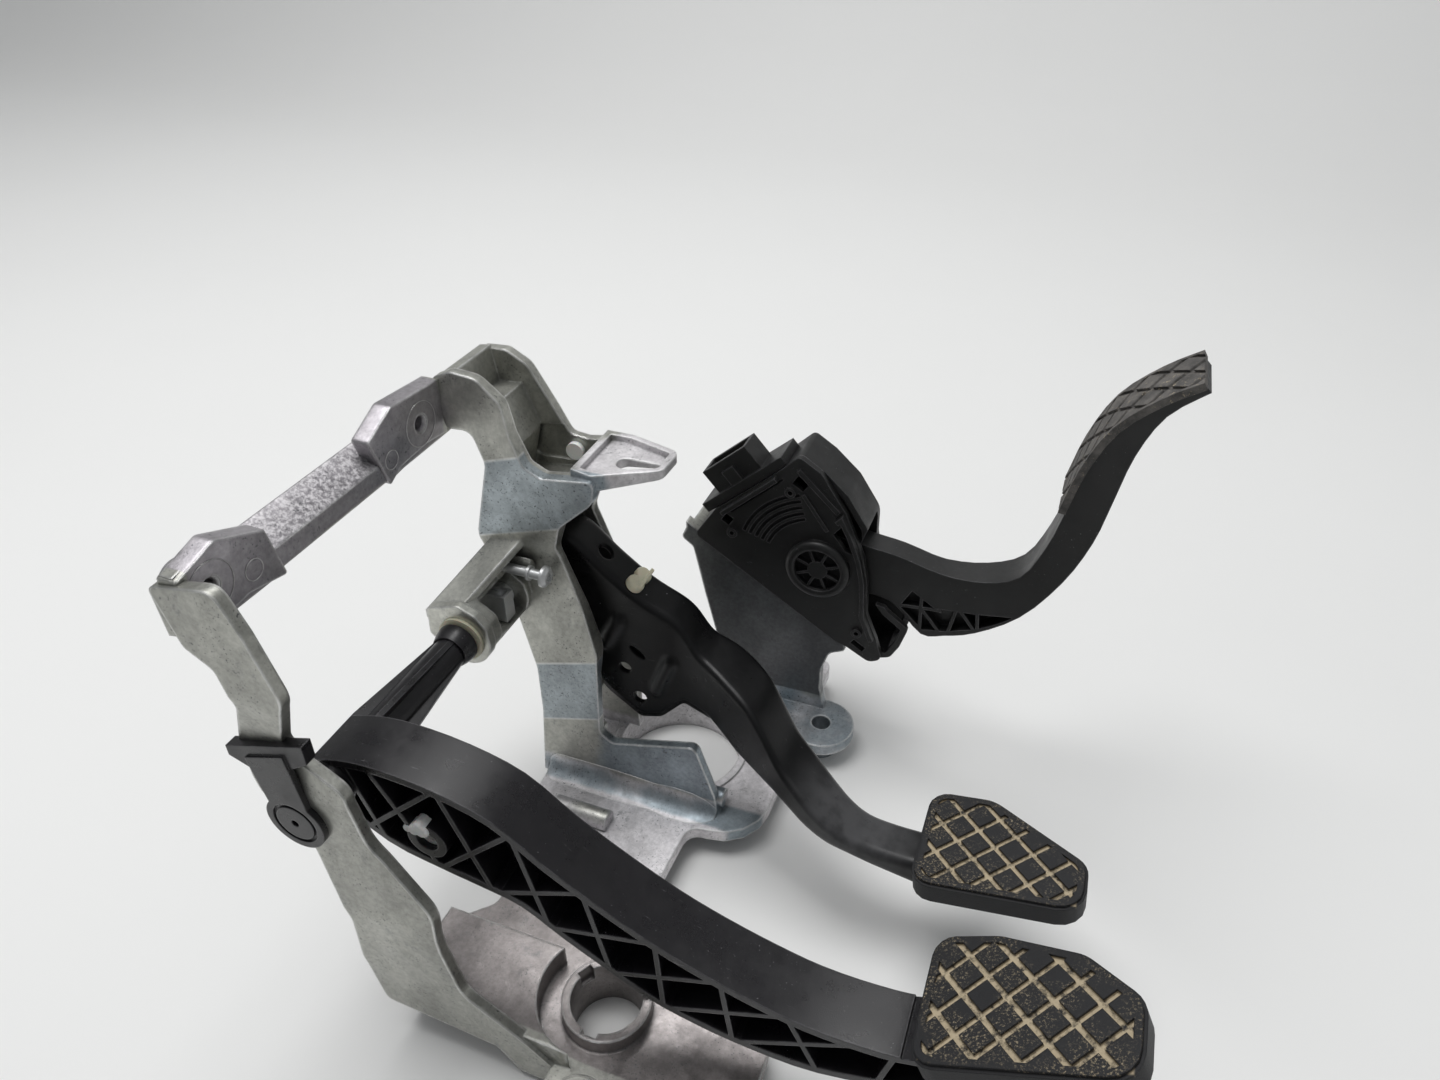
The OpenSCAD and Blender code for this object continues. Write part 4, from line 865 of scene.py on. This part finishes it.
def smooth_facets(names, angle):
    """Shade a node's shallow facets as one curve, without touching its mesh."""
    group = bpy.data.node_groups.new("smooth_facets", "GeometryNodeTree")
    group.interface.new_socket("Geometry", in_out="INPUT", socket_type="NodeSocketGeometry")
    group.interface.new_socket("Geometry", in_out="OUTPUT", socket_type="NodeSocketGeometry")
    make = group.nodes.new
    enter, leave = make("NodeGroupInput"), make("NodeGroupOutput")
    weld = make("GeometryNodeMergeByDistance")
    weld.inputs["Distance"].default_value = 0.00001
    faces = make("GeometryNodeSetShadeSmooth")
    edges = make("GeometryNodeSetShadeSmooth")
    edges.domain = "EDGE"
    edges.inputs["Shade Smooth"].default_value = False
    bend = make("GeometryNodeInputMeshEdgeAngle")
    sharp = make("FunctionNodeCompare")
    sharp.operation = "GREATER_THAN"
    sharp.inputs[1].default_value = math.radians(angle)
    link = group.links.new
    link(enter.outputs[0], weld.inputs["Geometry"])
    link(weld.outputs[0], faces.inputs["Geometry"])
    link(faces.outputs[0], edges.inputs["Geometry"])
    link(bend.outputs["Unsigned Angle"], sharp.inputs[0])
    link(sharp.outputs[0], edges.inputs["Selection"])
    link(edges.outputs[0], leave.inputs[0])
    for name in names:
        NODES[name].modifiers.new("smooth_facets", "NODES").node_group = group


def dress(names, material):
    """Give CAD nodes one finish."""
    for name in names:
        mesh = NODES[name].data
        mesh.materials.clear()
        mesh.materials.append(material)


def foot_fillet():
    """Hollow fillet along the near cheek's foot."""
    arc_steps = 10
    stations = 44
    start, end = FOOT_FILLET[0][0], FOOT_FILLET[-1][0]
    points = []
    for k in range(stations + 1):
        x = start + (end - start) * k / stations
        r = soft_reading(FOOT_FILLET, min(max(x, start + 0.01), end - 0.01), FILLET_SOFT)
        section = [(FOOT_FACE + SINK, PLATE_TOP - SINK), (FOOT_FACE - r, PLATE_TOP - SINK)]
        for step in range(arc_steps + 1):
            a = math.radians(90.0 * step / arc_steps)
            section.append((FOOT_FACE - r + r * math.sin(a), PLATE_TOP + r - r * math.cos(a)))
        section.append((FOOT_FACE + SINK, PLATE_TOP + r))
        points += [(x * MM, y * MM, z * MM) for y, z in section]
    count = len(section)
    faces = tube_faces(stations + 1, count, False)
    faces += [tuple(range(count)), tuple(stations * count + k for k in range(count))]
    return closed_piece("foot_fillet", points, faces, FILLET_SMOOTH)


def bar_cap():
    """Sloped cap along the top of the cross bar."""
    upright = in_place((0.0, BAR_ENDS[1], 0.0), 90.0, "X")
    mesh = moulded(rounded(BAR_CAP), BAR_ENDS[1] - BAR_ENDS[0], 0.0, upright)
    return smoothed(linked("bar_cap", mesh), PLATE_SMOOTH)


def thread_plate(name, corners, hole):
    """Plate on the cross bar's front, with a hole for its thread."""
    back, front = (x * MM for x in PLATE_SPAN)
    facing_x = Matrix(((0.0, 0.0, 1.0, back), (1.0, 0.0, 0.0, 0.0), (0.0, 1.0, 0.0, 0.0),
                       (0.0, 0.0, 0.0, 1.0)))
    plate = linked(name, moulded(rounded(corners), (front - back) / MM, PLATE_RIM, facing_x))
    cut(plate, [drill((back, hole[0] * MM, hole[1] * MM), ALONG, THREAD_HOLE * MM, DRILL_DEPTH * MM)])
    return smoothed(plate, PLATE_SMOOTH)


def bead(radius):
    """Profile of a low round bead on a plate's face."""
    foot, crown = 0.45, 0.2
    below, above = PLATE_SPAN[1] - 0.3, PLATE_SPAN[1] + 0.22
    return [(radius - foot, below), (radius - crown, above), (radius + crown, above), (radius + foot, below)]


def thread():
    """Profile of a thread with a chamfer at its mouth, down from a plate's face."""
    face = PLATE_SPAN[1]
    ridges = [(THREAD_ROOT - THREAD_RIDGE * (k % 2), face - 1.2 - THREAD_STEP * k) for k in range(12)]
    end = face - THREAD_DEPTH
    wall = [(THREAD_WALL, end), (THREAD_WALL, face - 0.3), (THREAD_MOUTH, face - 0.1)]
    return wall + ridges + [(THREAD_ROOT, end)]


class PEDALBOX_OT_casting(bpy.types.Operator):
    """Bracket casting: raw aluminium, with its fillet, cap, thread plates, rings and threads"""

    bl_idname = "pedalbox.casting"
    bl_label = "Bracket Casting"

    def execute(self, context):
        metal = cast_aluminium(context.scene.pedal_box.casting)
        dress(["bracket_casting"], metal)
        smooth_facets(["bracket_casting"], CAST_SMOOTH)
        pieces = [foot_fillet(), bar_cap(), thread_plate("thread_plate_near", PLATE_NEAR, THREADS[0]),
                  thread_plate("thread_plate_left", PLATE_LEFT, THREADS[1])]
        rings = (("boss_bead", bead(BOSS_RING), THREADS), ("mould_mark", bead(MARK_RING), MARKS),
                 ("bar_thread", thread(), THREADS))
        for name, profile, places in rings:
            pieces += [ring_on_x(f"{name}_{k + 1}", profile, place) for k, place in enumerate(places)]
        for piece in pieces:
            fit(piece, metal, "bracket")
        return {"FINISHED"}


class PEDALBOX_OT_clutch(bpy.types.Operator):
    """Clutch pedal: black glass-filled plastic and rubber pad"""

    bl_idname = "pedalbox.clutch"
    bl_label = "Clutch Pedal"

    def execute(self, context):
        look = context.scene.pedal_box
        plastic = look.plastic
        black = moulded_plastic("clutch_plastic", plastic.clutch, plastic.scuff_and_highlight, *CLUTCH_SHINE)
        dress(["clutch_pedal_arm", "pivot_clip"], black)
        rubber = pad_rubber("clutch_rubber", look.rubber, CLUTCH_PAD, CLUTCH_TILT, CLUTCH_PAD_OUTLINE)
        dress(["clutch_pedal_pad"], rubber)
        smooth_facets(["clutch_pedal_arm", "pivot_clip", "clutch_pedal_pad"], MOULD_SMOOTH)
        fit(lathe("pivot_shoulder", PIVOT_SHOULDER, PIVOT), black, "clutch_pedal")
        return {"FINISHED"}


def brake_wall(x, side, low, high, count):
    """Points up one wall of the channel, (z, lift); the near one has pressed beads."""
    points = []
    for k in range(count):
        z = low + (high - low) * k / (count - 1)
        lift = 0.0
        if side < 0.0:
            nearest = min(off_segment((x, z), *ends) for ends in BRAKE_BEADS)
            lift = BEAD_HEIGHT * (1.0 - ramp(nearest, *BEAD_HALF))
        points.append((z, lift))
    return points


def brake_section(x, bend):
    """Section of the pressed channel over x: rounded bends above, rolled edges below."""
    top = soft_reading(curve_through(BRAKE_TOP, 6), x, TOP_SOFT)
    low = soft_reading(BRAKE_LOW, x, LOW_SOFT)
    near = soft_reading(BRAKE_NEAR, x, PLAN_SOFT)
    far = soft_reading(BRAKE_FAR, x, PLAN_SOFT)
    if x > CHANNEL_CAPPED:
        tilt = math.tan(math.radians(BRAKE_TILT))
        top = min(top, BRAKE_PAD[2] - BRAKE_PLATE + (x - BRAKE_PAD[0]) * tilt)
    roll = ROLL_LEAST + ROLL_ADDED * ramp(x, *ROLL_GROWS)
    lip = roll + LIP * ramp(x, *LIP_GROWS)
    radius = min(bend, (top - low) * 0.4)
    far_low = low + FAR_SHORT * ramp(x, *FAR_SETS_IN) * (1.0 - ramp(x, *FAR_ENDS))
    halves = []
    for side, edge, foot in ((-1.0, near, low), (1.0, far, far_low)):
        half = [(edge - side * lip, foot)]
        for k in range(ROLL_STEPS + 1):
            a = math.radians(90.0 * k / ROLL_STEPS)
            half.append((edge - side * roll * (1.0 - math.sin(a)), foot + roll * (1.0 - math.cos(a))))
        for z, lift in brake_wall(x, side, foot + roll, top - radius, WALL_POINTS)[1:]:
            half.append((edge + side * lift, z))
        for k in range(1, BEND_STEPS + 1):
            a = math.radians(90.0 * k / BEND_STEPS)
            half.append((edge - side * radius * (1.0 - math.cos(a)), top - radius * (1.0 - math.sin(a))))
        halves.append(half)
    width = far - near - 2.0 * radius
    bridge = [(near + radius + width * k / BRIDGE_STEPS, top) for k in range(1, BRIDGE_STEPS)]
    return [(x * MM, y * MM, z * MM) for y, z in halves[0] + bridge + halves[1][::-1]]


def brake_channel(look):
    """Pressed steel arm of the brake pedal, with the plate of its pad."""
    stations = [CHANNEL_START + CHANNEL_STEP * k for k in range(CHANNEL_COUNT)]
    rows = [brake_section(x, look.bend / MM) for x in stations]
    arm = linked("brake_channel", grid_mesh("brake_channel", rows))
    shell = arm.modifiers.new("sheet", "SOLIDIFY")
    shell.thickness = look.sheet
    shell.offset = -1.0
    settle(arm)
    cut(arm, [drill(*hole) for hole in BRAKE_HOLES])
    under = in_place(BRAKE_PAD, -BRAKE_TILT) @ Matrix.Translation((0.0, 0.0, -BRAKE_PLATE * MM))
    plate = moulded(rounded(BRAKE_PAD_OUTLINE, PAD_LIP), PAD_PLATE, 0.0, under)
    sheet = arm.data
    bpy.data.objects.remove(arm)
    return smoothed(joined("brake_channel", [sheet, plate]), FINE_SMOOTH)


class PEDALBOX_OT_brake(bpy.types.Operator):
    """Brake pedal: pressed and painted steel channel and rubber pad"""

    bl_idname = "pedalbox.brake"
    bl_label = "Brake Pedal"

    def execute(self, context):
        look = context.scene.pedal_box
        paint = dip_paint(look.steel)
        dress(["brake_pedal_arm", "brake_hub_tube"], paint)
        arm = brake_channel(look.steel)
        fit(arm, paint, "brake_pedal")
        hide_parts("brake_pedal_arm")
        rubber = pad_rubber("brake_rubber", look.rubber, BRAKE_PAD, BRAKE_TILT, BRAKE_PAD_OUTLINE)
        dress(["brake_pedal_pad"], rubber)
        smooth_facets(["brake_pedal_pad"], MOULD_SMOOTH)
        return {"FINISHED"}


def socket_clip():
    """White clip that grips the rim of the rod socket in the clutch pedal's bay."""
    seat = in_place(SOCKET_CLIP, 90.0, "X")
    meshes = [moulded(lobed(SOCKET_LOBES), *SOCKET_SIZE, seat),
              moulded(lobed(KNOB_LOBES), *KNOB_SIZE, seat @ Matrix.Translation(KNOB_PLACE))]
    return smoothed(joined("socket_clip", meshes), FINE_SMOOTH)


def switch_clip():
    """Cream clip on the brake pedal: a two-lobed cap and a toothed ridge."""
    ridge = [(-RIDGE_HALF, 0.0), (RIDGE_HALF, 0.0)]
    for k in range(RIDGE_TEETH + 1):
        share = k / RIDGE_TEETH
        tooth = TOOTH if k % 2 else 0.0
        ridge.append((RIDGE_HALF - 2.0 * RIDGE_HALF * share, RIDGE_HEIGHT + tooth - RIDGE_FALL * share))
    seat = in_place(CLIP_SEAT, CLIP_SLOPE)
    upright = Matrix.Rotation(math.radians(90.0), 4, "Z") @ Matrix.Rotation(math.radians(90.0), 4, "X")
    meshes = [moulded(lobed(CLIP_LOBES), *CLIP_SIZE, seat),
              moulded(ridge, *RIDGE_SIZE, seat @ Matrix.Translation(RIDGE_PLACE) @ upright)]
    return smoothed(joined("switch_clip", meshes), FINE_SMOOTH)


class PEDALBOX_OT_pivot(bpy.types.Operator):
    """Pins, bushes, lock and small nylon pieces of the pivot"""

    bl_idname = "pedalbox.pivot"
    bl_label = "Pivot Pieces"

    def execute(self, context):
        look = context.scene.pedal_box
        nylon = pale_nylon("cream_nylon", look.plastic.nylon)
        white = pale_nylon("white_nylon", look.plastic.white)
        zinc = plated_steel("zinc_plate", look.steel.zinc, 0.42)
        dress(["clutch_arm_bush", "clutch_housing_bush", "brake_bush_near", "brake_bush_far"], nylon)
        dress(["switch_contact"], nylon)
        clip = switch_clip()
        fit(clip, nylon, "brake_pedal")
        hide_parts("switch_contact")
        dress(["push_rod_socket", "head_plug"], white)
        fit(socket_clip(), white, "clutch_pedal")
        dress(["clutch_pivot_pin", "brake_pivot_pin", "pin_lock_plate", "pin_lock_screw"], zinc)
        return {"FINISHED"}


def return_coil(finish):
    """Copy of the return spring, carried by the bracket with its finish; the frame's own spring is hidden."""
    node = NODES["return_spring"]
    coil = linked("return_coil", node.data.copy())
    coil.matrix_world = node.matrix_world.copy()
    coil.data.materials.clear()
    fit(coil, finish, "bracket")
    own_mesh(coil)
    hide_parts("return_spring")


class PEDALBOX_OT_accelerator(bpy.types.Operator):
    """Accelerator: matt black housing, pedal, worn pad and return spring"""

    bl_idname = "pedalbox.accelerator"
    bl_label = "Accelerator"

    def execute(self, context):
        look = context.scene.pedal_box
        plastic = look.plastic
        black = moulded_plastic("accelerator_plastic", plastic.accelerator, plastic.scuff_and_highlight, *ACCEL_SHINE)
        zinc = plated_steel("spring_steel", look.steel.zinc, 0.35)
        shells = ["accelerator_housing", "accelerator_cover", "accelerator_arm"]
        dress([*shells, "accelerator_connector"], black)
        dress(["accelerator_pad"], worn_rubber(look.rubber))
        dress(["accelerator_pin", "return_spring", "sensor_magnet", "accelerator_screws"], zinc)
        return_coil(zinc)
        dress(["connector_pins"], plated_steel("gilt_pins", look.steel.gilt, 0.3))
        dress(["sensor_board"], circuit_board(plastic))
        smooth_facets([*shells, "accelerator_pad"], MOULD_SMOOTH)
        dome = lathe("disc_dome", [(r, DISC_FACE + y) for r, y in DISC_DOME], ACCEL_HUB)
        fit(dome, black, "bracket")
        return {"FINISHED"}


def cove():
    """Floor that curves up into a backdrop."""
    turn = [(BACKDROP + BACKDROP_BEND * math.sin(a), BACKDROP_BEND - BACKDROP_BEND * math.cos(a))
            for a in [math.radians(90.0 * k / 12) for k in range(13)]]
    profile = [(FLOOR_FRONT, 0.0)] + turn + [(BACKDROP + BACKDROP_BEND, BACKDROP_HEIGHT)]
    mesh = bpy.data.meshes.new("floor")
    points = [(x, y, z) for y, z in profile for x in (-FLOOR_HALF, FLOOR_HALF)]
    faces = [(2 * k, 2 * k + 1, 2 * k + 3, 2 * k + 2) for k in range(len(profile) - 1)]
    mesh.from_pydata(points, [], faces)
    mesh.shade_smooth()
    return linked("floor", mesh)


class PEDALBOX_OT_stage(bpy.types.Operator):
    """Pale floor, soft light and the camera"""

    bl_idname = "pedalbox.stage"
    bl_label = "Stage"

    def execute(self, context):
        scene = context.scene
        look = scene.pedal_box.stage
        scene.view_settings.view_transform = "Standard"
        floor = cove()
        floor.data.materials.append(floor_paint(look))
        self.surroundings(scene, look)
        self.lamp(look)
        self.camera(scene, look)
        return {"FINISHED"}

    def surroundings(self, scene, look):
        """Light from all round, and the pale haze that the camera sees past the floor."""
        world = bpy.data.worlds.new("studio")
        world.use_nodes = True
        make = world.node_tree.nodes.new
        link = world.node_tree.links.new
        split = make("ShaderNodeSeparateXYZ")
        link(make("ShaderNodeTexCoord").outputs["Generated"], split.inputs[0])
        shades = make("ShaderNodeValToRGB")
        shades.color_ramp.elements[0].color = (*look.horizon, 1.0)
        shades.color_ramp.elements[1].color = (*look.sky, 1.0)
        link(split.outputs["Z"], shades.inputs["Fac"])
        sky = world.node_tree.nodes["Background"]
        link(shades.outputs["Color"], sky.inputs["Color"])
        sky.inputs["Strength"].default_value = look.sky_strength
        seen = make("ShaderNodeBackground")
        seen.inputs["Color"].default_value = (*look.haze, 1.0)
        choice = make("ShaderNodeMixShader")
        link(make("ShaderNodeLightPath").outputs["Is Camera Ray"], choice.inputs[0])
        link(sky.outputs[0], choice.inputs[1])
        link(seen.outputs[0], choice.inputs[2])
        link(choice.outputs[0], world.node_tree.nodes["World Output"].inputs["Surface"])
        scene.world = world

    def lamp(self, look):
        """Large soft lamp overhead."""
        lamp = bpy.data.lights.new("softbox", "AREA")
        lamp.shape = "RECTANGLE"
        lamp.size, lamp.size_y = LAMP_SIZE
        lamp.energy = look.lamp_power
        box = linked("softbox", lamp)
        box.location = LAMP_PLACE
        aim = Vector(LAMP_AIM) - box.location
        box.rotation_euler = aim.to_track_quat("-Z", "Y").to_euler()

    def camera(self, scene, look):
        """Camera in front of the pedals and above them."""
        data = bpy.data.cameras.new("camera")
        data.lens = look.lens
        data.sensor_width = 36.0
        data.clip_start = 0.01
        camera = linked("camera", data)
        camera.location = look.eye
        camera.rotation_euler = Vector(look.gaze).to_track_quat("-Z", "Y").to_euler()
        scene.camera = camera


OPERATORS = (PEDALBOX_OT_casting, PEDALBOX_OT_clutch, PEDALBOX_OT_brake, PEDALBOX_OT_pivot,
             PEDALBOX_OT_accelerator, PEDALBOX_OT_stage)


class PEDALBOX_PT_panel(bpy.types.Panel):
    """Steps that dress the pedal box"""

    bl_idname = "PEDALBOX_PT_panel"
    bl_label = "Pedal Box"
    bl_space_type = "VIEW_3D"
    bl_region_type = "UI"
    bl_category = "Pedal Box"

    def draw(self, context):
        for step in OPERATORS:
            self.layout.operator(step.bl_idname)


CLASSES = (CastingLook, PlasticLook, SteelLook, RubberLook, StageLook, PedalBoxLook, *OPERATORS,
           PEDALBOX_PT_panel)


def register():
    """Make the classes and settings known to Blender."""
    for cls in CLASSES:
        bpy.utils.register_class(cls)
    bpy.types.Scene.pedal_box = PointerProperty(type=PedalBoxLook)


def unregister():
    """Take the classes and settings back."""
    del bpy.types.Scene.pedal_box
    for cls in reversed(CLASSES):
        bpy.utils.unregister_class(cls)


def main():
    """Dress the frame piece by piece."""
    register()
    bpy.ops.pedalbox.casting()
    bpy.ops.pedalbox.clutch()
    bpy.ops.pedalbox.brake()
    bpy.ops.pedalbox.pivot()
    bpy.ops.pedalbox.accelerator()
    bpy.ops.pedalbox.stage()


if __name__ == "__main__":
    main()
